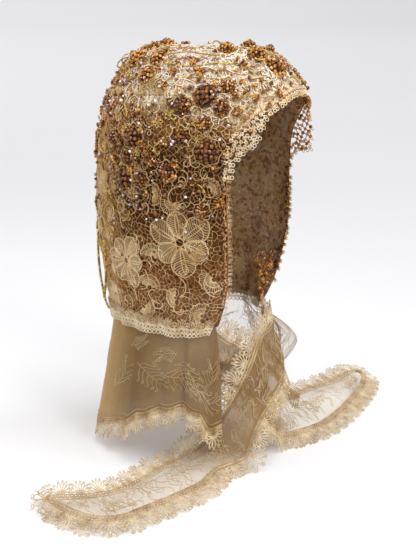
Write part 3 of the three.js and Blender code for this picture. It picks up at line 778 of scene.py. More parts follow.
fan_heart = (0.5, 0.19)
petal_turns = np.radians(np.linspace(-82, 82, 9))
petal_reach = 0.50 + 0.14 * np.cos(petal_turns)
petal_loops = looped_petals(petal_turns, 0.12, petal_reach, 0.095, 10)
picot_rings = ellipses(around(petal_turns, petal_reach + 0.055, fan_heart), 0.055, 0.05, 6)
web_turns = np.radians(np.linspace(-88, 88, 11))
web_arcs = np.stack([around(web_turns, radius, fan_heart) for radius in (0.08, 0.14, 0.22)])
joining_rings = ellipses([(0.0, 0.24), (0.0, 0.34), (0.5, 0.26)], 0.06, 0.05, 6)
chain_places = [((i + 0.25 + y * 4) / 5, y) for i in range(5) for y in (-0.02, 0.105)]
chain_rings = ellipses(chain_places, 0.082, 0.052, 6)
chain_cords = np.array([[(i / 3, y) for i in range(4)] for y in (-0.085, 0.042, 0.17)])

# Shapes, whether they are closed, and their thickness as a share of the thread.
fan_shapes = (
    (petal_loops, True, 1.05), (picot_rings, True, 0.95),
    (web_arcs, False, 0.8), (joining_rings, True, 0.9),
)
chain_shapes = ((chain_rings, True, 1.0), (chain_cords, False, 1.15))


def worked(strip, motifs, thread, shapes):
    """Shapes repeated along a strip. strip(along, out) gives places and facing for the share of its
    length and for the way out from the cloth in motif heights."""
    first = np.arange(motifs)[:, None, None]
    parts = []
    for shape, closed, thickness in shapes:
        steps = shape.shape[1]
        along = (first + shape[None, ..., 0]) / motifs
        out = np.broadcast_to(shape[None, ..., 1], along.shape)
        places, facing = strip(along.reshape(-1, steps), out.reshape(-1, steps))
        sides = 4 if thickness > 1 else 3
        parts.append(wrap(places, facing, thread * thickness, sides, closed, flat=0.8))
    return gathered(parts)


def sew_edging(name, strip, motifs, thread, stands_for, header=chain_shapes, cotton=chain_cotton):
    """The fans of an edging, and the chain or other header between them and the cloth."""
    sew_on(name + "_chain", worked(strip, motifs, thread, header), cotton, "guipure")
    fans = worked(strip, motifs, thread, fan_shapes)
    sew_on(name + "_fans", fans, edging_cotton, "guipure", *stands_for)


def along_line(line, share):
    """The row of a line of points that each share of its length falls in, and that length."""
    passed = np.concatenate([[0], np.cumsum(np.linalg.norm(np.diff(line, axis=0), axis=1))])
    row = np.interp(share, passed / passed[-1], np.arange(len(line)))
    return row, passed[-1]


def read_rows(values, row):
    low = np.clip(np.floor(row).astype(int), 0, len(values) - 2)
    share = (row - low)[..., None]
    return values[low] * (1 - share) + values[low + 1] * share


def border_strip(border, onward, height, gap=-0.0012, wave=0.0, floor_level=None):
    """A strip beside a border line: it runs on from the cloth, with a slight wave of its own."""
    tangent = np.gradient(border, axis=0)
    facing = unit(np.cross(tangent, onward))

    def strip(along, out):
        row, length = along_line(border, along)
        place = read_rows(border, row)
        way = read_rows(onward, row)
        normal = read_rows(facing, row)
        far = gap + height * out
        ripple = wave * np.sin(along * length / 0.034 * 2 * np.pi) * out
        place = place + way * far[..., None] + normal * ripple[..., None]
        if floor_level is not None:
            place[..., 2] = np.maximum(place[..., 2], floor_level)
        return place, normal
    return strip


# Face edging
# The edge of the opening is an open net of cord with a small ring worked at each crossing, finest
# low on the near side, cream on the near side and amber on the far side. It widens into a lobe high
# on each side, which stands out from the lace.
opening_gap = -0.0004
edging_stop = 0.925
brow_reach = 0.0036
net_rows = 12
net_row_share = 0.86
net_start = -0.0016
net_unevenness = 0.0009
rim_ring_way = 1.7
pale_cotton = thread_cotton("pale cotton cord", (244, 230, 198), (206, 174, 124))
amber_cotton = thread_cotton("amber cotton cord", (222, 170, 96), (176, 118, 52))

# Columns: name, first and last share of the edge, mesh, cord, ring, cotton, cotton of the rim.
net_stretches = (
    ("cheek", 0.0, 0.25, 0.0036, 0.00024, 0.0009, cream_cotton, cream_cotton),
    ("near", 0.25, 0.575, 0.0044, 0.00042, 0.0015, pale_cotton, pale_cotton),
    ("far", 0.575, 0.99, 0.0056, 0.00042, 0.0015, amber_cotton, pale_cotton),
)


def opening_line(side):
    """The opening's edge on one side of the lace, from the hem's corner up to its top."""
    drop = (lace_top - edge_z) / crown_to_hem
    clear = (drop < edging_stop) & (edge_y > hood_point(179.0, drop)[:, 1])
    drop, y = drop[clear][::-1], edge_y[clear][::-1]
    low, high = np.full(len(drop), 90.0), np.full(len(drop), 180.0)
    for _ in range(30):
        middle = (low + high) / 2
        ahead = hood_point(middle, drop)[:, 1] > y
        low, high = np.where(ahead, middle, low), np.where(ahead, high, middle)
    return hood_point(side * low, drop)


opening_edge = np.concatenate([
    opening_line(1), hood_point(180.0, edge_drop[0])[None], opening_line(-1)[::-1],
])
edge_steps = 360
rows_round, face_length = along_line(opening_edge, np.linspace(0, 1, edge_steps + 1))
opening_edge = read_rows(opening_edge, rows_round)
smoothing = np.array([1, 4, 6, 4, 1]) / 16
for axis in range(3):
    opening_edge[2:-2, axis] = np.convolve(opening_edge[:, axis], smoothing, mode="valid")
opening_share = np.linspace(0, 1, len(opening_edge))
temple_lobes = (
    {"along": 0.335, "half_span": 0.08, "reach": 0.012, "swing": 0.20, "hang": 0.0},
    {"along": 0.665, "half_span": 0.085, "reach": 0.024, "swing": 0.75, "hang": 1.0},
)


def lobe_at(share, value):
    total = np.zeros_like(share)
    for lobe in temple_lobes:
        total += lobe[value] * (1 - ease(np.abs(share - lobe["along"]) / lobe["half_span"]))
    return total


edge_tangent = unit(np.gradient(opening_edge, axis=0))
edge_outward = unit(opening_edge * (1, 1, 0))
edge_outward[:, 2] = np.clip(1 + opening_edge[:, 2] / (0.4 * crown_to_hem), 0, 0.8)
edge_outward -= edge_tangent * (edge_outward * edge_tangent).sum(axis=1, keepdims=True)
edge_outward = unit(edge_outward)
edge_onward = np.cross(edge_tangent, edge_outward)
edge_onward += edge_outward * lobe_at(opening_share, "swing")[:, None]
edge_onward[:, 2] -= lobe_at(opening_share, "hang")
edge_onward = unit(edge_onward)
plain_strip = border_strip(opening_edge, edge_onward, 1.0, gap=opening_gap)

edge_cord = 0.00045
edge_cord_route = wrap(opening_edge[None], edge_outward[None], edge_cord, sides=6)
sew_on("edge_cord", edge_cord_route, russet_cotton, "guipure")


def edge_net(low, high, mesh, generator):
    """Crossings of the net between two shares of the edge: share, way out, and whether on the rim."""
    step = mesh / face_length
    row_height = mesh * net_row_share
    found = []
    for line in range(net_rows):
        shares = np.arange(low, high, step) + (line % 2) * step / 2
        uneven = generator.uniform(-1, 1, len(shares)) * net_unevenness
        out = net_start + line * row_height + uneven
        reach = brow_reach + lobe_at(shares, "reach")
        rim = out + row_height > reach
        moved = shares + generator.uniform(-0.25, 0.25, len(shares)) * step
        found.append(np.stack([moved, out, rim], axis=-1)[out < reach])
    return np.concatenate(found)


def small_rings(places, facing, radius, steps=6):
    turns = 2 * np.pi * np.arange(steps) / steps
    across = unit(np.cross(facing, (0.31, 0.22, 0.92)))
    upward = np.cross(facing, across)
    ring = np.cos(turns)[:, None] * across[:, None] + np.sin(turns)[:, None] * upward[:, None]
    return places[:, None] + ring * radius, np.repeat(facing[:, None], steps, axis=1)


lobe_chance = np.random.default_rng(61)
net_lots = {}
for side, first, last, mesh, cord, ring, cotton, rim_cotton in net_stretches:
    net = edge_net(first, last, mesh, lobe_chance)
    places, facing = plain_strip(net[:, 0], net[:, 1])
    pairs = joined_neighbours(places, mesh * 1.1)
    threads = wrap(places[pairs], facing[pairs], cord)
    crossings = wrap(*small_rings(places, facing, ring), cord, closed=True)
    stands_for = ["face_edging"] if side == "near" else []
    sew_on(f"{side}_edge_net", gathered([threads, crossings]), cotton, "guipure", *stands_for)
    rim = net[:, 2] > 0
    ways = edge_onward[np.clip((net[rim, 0] * edge_steps).astype(int), 0, edge_steps)]
    rim_rings = small_rings(places[rim] + ways * rim_ring_way * ring, facing[rim], ring, 8)
    sew_on(f"{side}_edge_rings", wrap(*rim_rings, cord, closed=True), rim_cotton, "guipure")
    net_lots[side] = places, facing

# Hem border
# The lace ends below in a guipure band: two rows of rings between two cords lie along the very
# edge, and fans point up over the lace, which the band is stitched to.
hem_corner_angle = 132
hem_border_width = 0.0145
hem_motif_pitch = 0.0118
hem_thread = 0.0004
border_lift = 0.0024
hem_angles = np.linspace(hem_corner_angle, -hem_corner_angle, 265)
hem_line = hood_point(hem_angles, 1.0, border_lift) - (0, 0, 0.004)
hem_onward = unit(hood_point(hem_angles, 1 - 0.06, border_lift) - hem_line)
hem_motifs = round(line_length(hem_line) / hem_motif_pitch)
hem_strip = border_strip(hem_line, hem_onward, hem_border_width, gap=0.0)
hem_rings = ellipses([((i + 0.25 + y) / 3, y) for i in range(3) for y in (-0.17, 0.15)], 0.14, 0.12, 8)
hem_cords = np.array([[(i / 3, y) for i in range(4)] for y in (-0.01, 0.30)])
hem_header = ((hem_rings, True, 1.3), (hem_cords, False, 1.1))
sew_edging("hem_border", hem_strip, hem_motifs, hem_thread, ["hem_border"], hem_header, pale_cotton)

# Veil fall
# A flounce of fine tulle is seamed inside the hem and hangs in soft folds, from the near front edge
# round the back to the far front edge, where it swings forward.
fall_length = 0.114
fall_flare = 0.020
fall_tuck = 0.0022
fall_overlap = 0.005
hanging_start = 0.009
fall_fold_depth = 0.0022
fall_folds = 9
small_fold_depth = 0.0010
small_folds = 23

# Columns: angle round the hem, then shares of the drop, the spread, the way forward and the sway.
fall_angle, fall_drop, fall_spread, fall_forward, fall_sway = np.array([
    (-138, 0.84, 0.95, 1.45, 0.90), (-124, 0.80, 0.85, 1.00, 0.50), (-108, 0.66, 0.80, 0.50, 0.15),
    (-88, 0.64, 0.85, 0.10, 0), (-66, 0.87, 0.95, 0, 0), (-36, 0.97, 0.95, 0, 0),
    (0, 1.0, 1.0, 0, 0), (36, 1.0, 0.94, 0, 0), (66, 0.87, 0.95, 0, 0),
    (77, 0.75, 0.83, 0, 0), (88, 0.67, 0.73, 0, 0), (107, 0.64, 0.62, 0, 0),
    (120, 0.70, 0.58, 0.05, 0), (129, 0.86, 0.56, 0.12, 0), (138, 0.83, 0.55, 0.22, 0),
]).T


def between(table, angle):
    row = np.interp(angle, fall_angle, np.arange(len(fall_angle)))
    low = np.clip(np.floor(row).astype(int), 0, len(table) - 2)
    return table[low] + (table[low + 1] - table[low]) * ease(row - low)


def fall_point(angle, down, lift=0.0):
    angle, down = np.broadcast_arrays(np.asarray(angle, float), np.asarray(down, float))
    seam = hood_point(angle, 1.0, -fall_tuck)
    height = between(fall_drop, angle) * fall_length + fall_overlap
    start = hanging_start / height
    hanging = np.maximum(0, (down - start) / (1 - start))
    eased = np.minimum(hanging, 1)
    reach = np.hypot(seam[..., 0], seam[..., 1])
    turn = np.radians(angle)
    folds = fall_fold_depth * np.cos(turn * fall_folds) * eased
    folds += small_fold_depth * np.sin(turn * small_folds + 1.2 * np.sin(turn * 5)) * eased**1.5
    grow = (reach + fall_flare * between(fall_spread, angle) * hanging + folds + lift) / reach
    forward = fall_flare * (
        between(fall_forward, angle) * (1 - (1 - eased) ** 3)
        + between(fall_sway, angle) * np.sin(2 * np.pi * eased)
    )
    x, y = seam[..., 0] * grow, seam[..., 1] * grow - forward
    return np.stack([x, y, seam[..., 2] + fall_overlap - height * down], axis=-1)


def fine_tulle(name, single_alpha, doubled_alpha, deep, light):
    """Tulle: in two layers where it hangs and deep in colour there, partly from painted shade of the shadowed
    hollow behind it; one clear layer on the table and far out on the far side; and paler towards the back,
    which is painted light."""
    material, tree, shader = cloth(name, 0.8)
    place = object_place(tree)
    axes = axes_of(tree, place)
    over_table = mapped(tree, axes["Z"], -0.376, -0.364)
    near_side = mapped(tree, axes["X"], 0.032, 0.058, 1.0, 0.0)
    doubled_and_shaded = maths(tree, "MULTIPLY", over_table, near_side)
    feed(tree, shader.inputs["Alpha"], mapped(tree, doubled_and_shaded, 0.0, 1.0, single_alpha, doubled_alpha))
    # Painted shade: the deep tones where the tulle hangs stand partly for the shade of the hollow behind it.
    hanging = patchy(tree, [(0.3, deep), (0.7, light)], Vector=place, Scale=24, Detail=3)
    # Painted light: towards the back the tulle is made paler.
    behind = mapped(tree, axes["Y"], 0.04, 0.10)
    hanging = mixed(tree, "MIX", behind, hanging, linear(200, 164, 112))
    base = mixed(tree, "MIX", doubled_and_shaded, linear(246, 230, 202), hanging)
    mesh = ramped(tree, net_lines(tree, place, 900), [(0.05, (255, 255, 255)), (0.2, (206, 206, 206))])
    dressed(tree, shader, mixed(tree, "MULTIPLY", 0.7, base, mesh), mesh, 0.25, 0.0003)
    return material


# The two deep colours for the hanging tulle carry painted shade.
tulle = fine_tulle("fall tulle", 0.32, 0.94, (114, 86, 48), (140, 108, 64))
fall_columns, fall_rows = 276, 26
fall_angles = np.linspace(138, -138, fall_columns + 1)
fall_downs = np.linspace(0, 1, fall_rows + 1)
fall_sheet = fall_point(fall_angles[None, :], fall_downs[:, None])
fall_shape = (fall_sheet, grid_faces(fall_rows, fall_columns))
veil_fall = sew_on("fall_tulle", fall_shape, tulle, "tulle", "veil_fall")


# Fall edging
# Guipure fans hang from the foot of the fall. Their chain is stitched over the edge of the tulle,
# and the edging follows the tulle's waves.
fall_edging_width = 0.019
fall_motif_pitch = 0.0185
foot_line = fall_point(fall_angles, 1.0)
foot_onward = unit(foot_line - fall_point(fall_angles, 0.85))
turned_down = ease((-108 - fall_angles) / 26)[:, None]
foot_onward = unit(foot_onward * (1 - turned_down) + np.array([0.1, 0.1, -1.0]) * turned_down)
fall_motifs = round(line_length(foot_line) / fall_motif_pitch)
foot_strip = border_strip(foot_line, foot_onward, fall_edging_width, wave=0.0012)
sew_edging("fall_edging", foot_strip, fall_motifs, edging_thread, ["fall_edging"])

# Ties
# Two long tulle tails start at the hem's front corners, cross in front and lie out on the
# table. Both long sides and the end of each carry the guipure edging. Near the table the lower
# edging leans down on it, and the upper edging and the tulle lie a little over it.
tail_reach = 0.260
throat_reach = 0.076
ground_drop = 0.382
table_level = -0.3812
raised = 0.978
leaning_from = 0.93
end_bulge = 0.008
tie_rows = 15
tie_lift = 0.0012
# The two deep colours for the hanging tulle carry painted shade.
tie_tulle = fine_tulle("tie tulle", 0.30, 0.78, (134, 100, 56), (160, 126, 78))
edging_lean = {"upper": 0.34, "lower": -0.40}
tie_edging_width = 0.022

# Columns: upper border x, y, z and lower border x, y, z, as shares of the three sizes above.
right_tie_stations = np.array([
    (-0.1665, -0.429, 0.660, -0.160, -0.34, 0.775), (-0.125, -0.54, 0.690, -0.139, -0.46, 0.796),
    (-0.065, -0.62, 0.719, -0.092, -0.58, 0.812), (0.010, -0.66, 0.762, -0.035, -0.70, 0.850),
    (0.096, -0.64, 0.822, 0.015, -0.80, 0.910), (0.192, -0.60, 0.890, 0.080, -0.92, 0.965),
    (0.308, -0.48, 0.942, 0.175, -1.06, 0.976), (0.438, -0.42, 0.974, 0.285, -1.19, raised),
    (0.585, -0.50, raised, 0.431, -1.24, raised), (0.758, -0.72, raised, 0.623, -1.22, raised),
    (0.876, -0.77, raised, 0.770, -1.17, raised), (0.938, -0.84, raised, 0.872, -1.10, raised),
])
left_tie_stations = np.array([
    (0.168, -0.490, 0.666, 0.188, -0.48, 0.748), (0.108, -0.74, 0.668, 0.150, -0.78, 0.780),
    (0.031, -0.82, 0.672, 0.092, -0.95, 0.799), (-0.040, -0.80, 0.685, 0.019, -0.98, 0.820),
    (-0.085, -0.76, 0.737, -0.050, -0.96, 0.848), (-0.125, -0.71, 0.785, -0.108, -0.92, 0.880),
    (-0.155, -0.61, 0.834, -0.146, -0.88, 0.921), (-0.180, -0.45, 0.893, -0.169, -0.83, 0.962),
    (-0.213, -0.31, 0.938, -0.204, -0.74, 0.973), (-0.262, -0.14, 0.970, -0.262, -0.62, raised),
    (-0.335, -0.02, raised, -0.385, -0.65, raised), (-0.440, 0.01, raised, -0.510, -0.54, raised),
    (-0.540, 0.07, raised, -0.628, -0.40, raised), (-0.608, 0.21, raised, -0.725, -0.26, raised),
    (-0.655, 0.38, raised, -0.768, -0.02, raised), (-0.690, 0.56, raised, -0.765, 0.27, raised),
    (-0.712, 0.70, raised, -0.745, 0.53, raised),
])


def soft_line(points, steps):
    """A smooth line through stations that takes uneven distances between them in its stride."""
    padded = np.concatenate([2 * points[:1] - points[1:2], points, 2 * points[-1:] - points[-2:-1]])
    line = []
    for number in range(len(points) - 1):
        p0, p1, p2, p3 = padded[number:number + 4]
        steps_between = ((p0, p1), (p1, p2), (p2, p3))
        d0, d1, d2 = (max(np.linalg.norm(b - a), 1e-9) ** 0.5 for a, b in steps_between)
        t1 = ((p1 - p0) / d0 - (p2 - p0) / (d0 + d1) + (p2 - p1) / d1) * d1
        t2 = ((p2 - p1) / d1 - (p3 - p1) / (d1 + d2) + (p3 - p2) / d2) * d1
        share = np.linspace(0, 1, steps, endpoint=False)[:, None]
        line.append(
            p1 + t1 * share + (-3 * p1 + 3 * p2 - 2 * t1 - t2) * share**2
            + (2 * p1 - 2 * p2 + t1 + t2) * share**3
        )
    return np.concatenate([*line, points[-1:]])


def tie_sheet(upper, lower, seed):
    """Tulle between the two borders, with folds that run along the tail."""
    across = np.linspace(0, 1, tie_rows)[:, None, None]
    sheet = upper[None] * (1 - across) + lower[None] * across
    tangent = np.gradient(sheet, axis=1)
    normal = unit(np.cross(tangent, (lower - upper)[None]))
    normal *= np.sign(normal[..., 2:] + 1e-9)
    along = np.linspace(0, 1, len(upper))[None, :, None]
    folds = np.sin(across * 17 + 3 * np.sin(along * 9 + seed)) * 0.0011
    folds = folds + np.sin(across * 7 + along * 14 + seed) * 0.0014
    sheet = sheet + normal * (folds + tie_lift) * np.sin(np.pi * across) ** 0.7
    sheet[..., 2] = np.maximum(sheet[..., 2], table_level)
    return sheet


def eased_turn(first, last, steps):
    """Ways that turn evenly from the first to the last."""
    share = np.linspace(0, 1, steps)[:, None]
    return unit(first * np.cos(share * np.pi / 2) + last * np.sin(share * np.pi / 2))


def round_the_end(line, onward, other_end, other_onward):
    """A border line carried round the end of the tail to the other border."""
    tip_way = unit(line[-1] - line[-3])
    share = np.concatenate([
        np.linspace(0.02, 0.38, 9), np.linspace(0.43, 0.57, 6), np.linspace(0.62, 0.98, 9),
    ])
    places = line[-1] + (other_end - line[-1]) * share[:, None]
    ways = np.concatenate([
        eased_turn(onward[-1], tip_way, 9),
        np.repeat(tip_way[None], 6, axis=0),
        eased_turn(tip_way, other_onward, 9),
    ])
    bulge = np.sin(np.pi * share)[:, None] * end_bulge
    return np.concatenate([line, places + tip_way * bulge]), np.concatenate([onward, ways])


def make_tie(name, stations, seed):
    scale = np.array([tail_reach, throat_reach, -ground_drop])
    upper = soft_line(stations[:, :3] * scale, 12)
    lower = soft_line(stations[:, 3:] * scale, 12)
    sheet = tie_sheet(upper, lower, seed)
    faces = grid_faces(sheet.shape[0] - 1, sheet.shape[1] - 1)
    tie = sew_on(name + "_tulle", (sheet, faces), tie_tulle, "tulle", name)
    ways = {}
    for border, line, other in (("upper", upper, lower), ("lower", lower, upper)):
        tangent = unit(np.gradient(line, axis=0))
        onward = line - other
        onward = unit(onward - tangent * (onward * tangent).sum(axis=1, keepdims=True))
        near_table = ease((-line[:, 2] / ground_drop - leaning_from) / (raised - leaning_from))
        onward[:, 2] += edging_lean[border] * near_table
        ways[border] = unit(onward)
    borders = {
        "upper": (upper, ways["upper"]),
        "lower": round_the_end(lower, ways["lower"], upper[-1], ways["upper"][-1]),
    }
    for border, (line, onward) in borders.items():
        length = line_length(line) + (0.02 if border == "lower" else 0)
        strip = border_strip(line, onward, tie_edging_width, wave=0.0010, floor_level=table_level)
        motifs = round(length / motif_pitch)
        sew_edging(f"{name}_{border}", strip, motifs, edging_thread, [f"{name}_{border}_edging"])
    length = max(line_length(line) for line in (upper, lower))
    width = np.linalg.norm(upper - lower, axis=1).max()
    return tie, sheet, (float(width), float(length))


right_tie, right_sheet, right_flat = make_tie("right_tie", right_tie_stations, 0.4)
left_tie, left_sheet, left_flat = make_tie("left_tie", left_tie_stations, 2.1)

# Tulle embroidery
# Fern sprays are embroidered on the tulle in fine tan thread: a bowed stem with side shoots that
# end in tiny loops. Loose wavy threads run over the ties and the far end of the fall. A cord runs
# along each border of the ties and two run above the foot of the fall.
embroidery_thread = 0.00022
embroidery_cotton = thread_cotton("embroidery thread", (214, 190, 148), (180, 150, 104))
tulle_lift = 0.0004
shoot_loop = 0.0012
far_threads = 34


def fern(length, bow, shoots):
    """The lines of one spray in the flat: a stem, its side shoots and their end loops."""
    share = np.linspace(0, 1, 12)
    stem = np.stack([bow * length * np.sin(np.pi * share) * 0.5, length * share], axis=-1)
    side_shoots, end_loops = [], []
    steps = np.linspace(0, 1, 6)
    turns = 2 * np.pi * np.arange(6) / 6
    for number in range(shoots):
        foot = (number + 1.2) / (shoots + 1.4)
        base = np.array([np.interp(foot, share, stem[:, 0]), length * foot])
        side = 1 if number % 2 else -1
        reach = length * (0.30 - 0.17 * foot)
        lean = 0.9 + 0.5 * foot
        shoot = np.stack([side * reach * steps * (1 - 0.25 * steps), reach * lean * steps**1.5], axis=-1)
        side_shoots.append(base + shoot)
        end_loops.append(base + shoot[-1] + circle(turns) * shoot_loop + (side * shoot_loop, 0.0004))
    return stem, np.array(side_shoots), np.array(end_loops)


def on_fall(angle, down, flat):
    """Flat places about a spot of the fall, laid on its outer face."""
    reach = float(np.hypot(*fall_point(angle, down)[:2]))
    height = float(between(fall_drop, np.array(angle))) * fall_length + fall_overlap
    angles = angle + np.degrees(flat[..., 0] / reach)
    downs = np.clip(down - flat[..., 1] / height, 0.02, 0.985)
    places = fall_point(angles, downs, tulle_lift)
    return places, unit(places * (1, 1, 0))


def on_sheet(sheet, along, across):
    """Places on a tie's upper face by the shares of its length and of its width."""
    column = np.clip(along, 0.01, 0.99) * (sheet.shape[1] - 1)
    row = np.clip(across, 0.04, 0.96) * (sheet.shape[0] - 1)
    low_row, low_column = np.floor(row).astype(int), np.floor(column).astype(int)
    down, on = (row - low_row)[..., None], (column - low_column)[..., None]
    corner = [sheet[low_row + i, low_column + j] for i in (0, 1) for j in (0, 1)]
    upper_place = corner[0] * (1 - on) + corner[1] * on
    lower_place = corner[2] * (1 - on) + corner[3] * on
    places = upper_place * (1 - down) + lower_place * down
    facing = unit(np.cross(corner[1] - corner[0], corner[2] - corner[0]))
    facing *= np.where(facing[..., 2:] < 0, -1, 1)
    return places + facing * tulle_lift, facing


def on_tie(sheet, along, across, flat):
    """Flat places about a spot of a tie, laid on its upper face."""
    length = line_length(sheet[tie_rows // 2])
    number = int(along * (sheet.shape[1] - 1))
    width = np.linalg.norm(sheet[-1, number] - sheet[0, number])
    return on_sheet(sheet, along + flat[..., 1] / length, across + flat[..., 0] / width)


def wavy_lines(sheet, count, generator):
    """Loose wavy threads that run across a tie from border to border."""
    each = (count, 1)
    share = np.linspace(0, 1, 18)[None]
    foot = np.sort(generator.uniform(0.03, 0.96, count))[:, None]
    first, last = generator.uniform(0.05, 0.30, each), generator.uniform(0.62, 0.95, each)
    sway = 0.006 * np.sin(share * generator.uniform(9, 15, each) + generator.uniform(0, 6, each))
    lean = generator.uniform(-0.03, 0.03, each) * share
    return on_sheet(sheet, foot + sway + lean, first + (last - first) * share)


fern_chance = np.random.default_rng(71)
embroidery = []


def embroider(places, facing, closed=False):
    embroidery.append(wrap(places, facing, embroidery_thread, closed=closed))


def embroider_fern(laid_on, length, shoots, turn):
    """One spray, with a bow of its own; laid_on puts flat places on the tulle."""
    spray = fern(length, fern_chance.uniform(-0.5, 0.5), shoots)
    stem, side_shoots, end_loops = (turned(shape, turn) for shape in spray)
    embroider(*laid_on(stem[None]))
    embroider(*laid_on(side_shoots))
    embroider(*laid_on(end_loops), closed=True)


# Columns: degrees from the middle of the back, way down the fall, length, turn in radians.
fall_ferns = [
    (84, 0.60, 0.046, 1.9), (96, 0.48, 0.040, 2.2), (110, 0.66, 0.036, 1.7),
    (70, 0.44, 0.036, 2.5), (48, 0.70, 0.034, 0.5),
]
for angle in range(-122, 40, 17):
    fall_ferns.append((angle, 0.35 + 0.4 * fern_chance.uniform(), 0.030, fern_chance.uniform(-1.2, 1.2)))
fall_ferns += [
    (98, 0.36, 0.020, -1.8), (60, 0.30, 0.020, 1.1),
    (-128, 0.55, 0.026, 0.3), (126, 0.60, 0.022, 0.2),
]
for angle, down, length, turn in fall_ferns:
    embroider_fern(lambda flat: on_fall(angle, down, flat), length, 11, turn)
for sheet in (right_sheet, left_sheet):
    for along in np.linspace(0.2, 0.93, 9):
        turn = fern_chance.uniform(-0.6, 0.6) + (math.pi if fern_chance.uniform() < 0.5 else 0)
        across = 0.5 + fern_chance.uniform(-0.1, 0.1)
        embroider_fern(lambda flat: on_tie(sheet, along, across, flat), 0.026, 9, turn)
    embroider(*wavy_lines(sheet, 80, fern_chance))
each = (far_threads, 1)
far_share = np.linspace(0, 1, 24)[None]
far_sway = np.sin(far_share * fern_chance.uniform(12, 20, each) + fern_chance.uniform(0, 6, each))
far_angles = np.linspace(-138, -96, far_threads)[:, None] + 1.6 * far_sway
far_lines = fall_point(far_angles, 0.06 + far_share * fern_chance.uniform(0.5, 0.9, each), tulle_lift)
embroider(far_lines, unit(far_lines * (1, 1, 0)))
sew_on("tulle_embroidery", gathered(embroidery), embroidery_cotton, "lace")

cord_lines = [(fall_point(fall_angles, 1 - share, tulle_lift), 0.00032) for share in (0.04, 0.075)]
cord_lines += [(border, 0.0004) for sheet in (right_sheet, left_sheet) for border in (sheet[0], sheet[-1])]
cord_parts = []
for line, radius in cord_lines:
    cord_parts.append(wrap(line[None], unit(line[None] * (1, 1, 0) + (0, 0, 0.02)), radius))
sew_on("border_cords", gathered(cord_parts), chain_cotton, "guipure")

# Rosettes
# Each rosette is a domed knot of faceted amber or topaz glass beads on a dark round on the lace, whose colour
# is painted shade between the beads: rings of twelve, eight and four beads, each higher than the last, and
# one bead on top.
rosette_radius = 0.009

# Columns: degrees from the middle of the back, drop, size as a share.
rosette_places = np.array([
    (25, 0.007, 0.95), (46, 0.016, 0.70), (49, 0.054, 1.00), (72, 0.048, 0.85), (131, 0.017, 0.85),
    (172, 0.010, 0.80), (157, 0.033, 0.90), (165, 0.076, 1.00), (-173, 0.024, 0.60), (70, 0.105, 0.90),
    (4, 0.105, 0.60), (123, 0.135, 0.70), (110, 0.168, 1.05), (98, 0.202, 0.85), (118, 0.209, 0.70),
    (109, 0.259, 0.65), (98, 0.305, 0.80), (71, 0.315, 1.05), (56, 0.323, 0.70), (111, 0.351, 1.10),
    (82, 0.372, 0.60), (68, 0.387, 0.75), (91, 0.425, 0.80), (77, 0.461, 0.70), (66, 0.465, 1.05),
    (117, 0.530, 0.55), (109, 0.559, 0.62), (-48, 0.050, 0.90), (-115, 0.045, 0.90), (-75, 0.120, 1.00),
    (-20, 0.200, 0.80), (-112, 0.180, 1.00), (-60, 0.310, 1.00), (-106, 0.350, 1.05), (-82, 0.440, 0.90),
    (-112, 0.550, 1.00),
])


def turned_bead(radii, heights, sides):
    """One bead as a turned shape with flat facets, its hole along z."""
    turns = 2 * np.pi * np.arange(sides) / sides
    points = [(r * np.cos(t), r * np.sin(t), h) for r, h in zip(radii, heights) for t in turns]
    points += [(0, 0, heights[0]), (0, 0, heights[-1])]
    foot, top = len(points) - 2, len(points) - 1
    faces = []
    for ring in range(len(radii) - 1):
        for side in range(sides):
            a, b = ring * sides + side, ring * sides + (side + 1) % sides
            faces += [(a, b, b + sides), (a, b + sides, a + sides)]
    last = (len(radii) - 1) * sides
    for side in range(sides):
        faces += [(side, foot, (side + 1) % sides), (last + side, last + (side + 1) % sides, top)]
    return np.array(points, float), np.array(faces)


faceted_bead = turned_bead((0.5, 1.0, 1.0, 0.5), (-0.85, -0.35, 0.35, 0.85), 6)
seed_bead = turned_bead((0.6, 1.0, 0.6), (-0.6, 0.0, 0.6), 6)


def beads(shape, places, axes, sizes, generator):
    """Beads threaded at places, their holes along the axes, each turned its own way."""
    points, faces = shape
    axes = unit(axes)
    helper = np.where(np.abs(axes[:, 2:]) < 0.9, [[0, 0, 1.0]], [[1.0, 0, 0]])
    side = unit(np.cross(helper, axes))
    other = np.cross(axes, side)
    spin = generator.uniform(0, 2 * np.pi, (len(places), 1))
    first = side * np.cos(spin) + other * np.sin(spin)
    second = np.cross(axes, first)
    frames = np.stack([first, second, axes], axis=1)
    world = places[:, None] + np.broadcast_to(sizes, (len(places),))[:, None, None] * (points[None] @ frames)
    lots = faces[None] + (np.arange(len(places)) * len(points))[:, None, None]
    return world.reshape(-1, 3), lots.reshape(-1, 3)


def bead_glass(name, light, middle, dark, roughness=0.12):
    """Pressed glass: each bead its own tone, with a polished surface that is a little uneven."""
    material, tree, shader = cloth(name, roughness)
    place = object_place(tree)
    tones = [(0.36, dark), (0.5, middle), (0.64, light)]
    fine = add_node(tree, "TexNoise", Vector=place, Scale=1600, Detail=2).outputs["Fac"]
    dressed(tree, shader, patchy(tree, tones, Vector=place, Scale=330, Detail=1), fine, 0.15, 0.0003)
    shader.inputs["Coat Weight"].default_value = 0.6
    shader.inputs["Coat Roughness"].default_value = 0.04
    return material


def matt_stuff(name, steps, sheen=0.0, **noise):
    """A dull surface in soft patches of two tones."""
    material, tree, shader = cloth(name, 0.9, sheen=sheen)
    feed(tree, shader.inputs["Base Color"], patchy(tree, steps, **noise))
    return material


amber_glass = bead_glass("amber glass", (224, 160, 70), (146, 90, 28), (70, 34, 10))
dark_glass = bead_glass("dark topaz glass", (158, 100, 40), (96, 54, 22), (50, 24, 14), 0.1)
# Painted highlight: this glass is white and lilac to stand for glints of light on the beads.
glint_glass = bead_glass("painted glint glass", (250, 246, 255), (214, 196, 220), (150, 116, 130), 0.05)
gold_glass = bead_glass("gold seed beads", (222, 190, 92), (172, 138, 48), (112, 84, 24), 0.2)
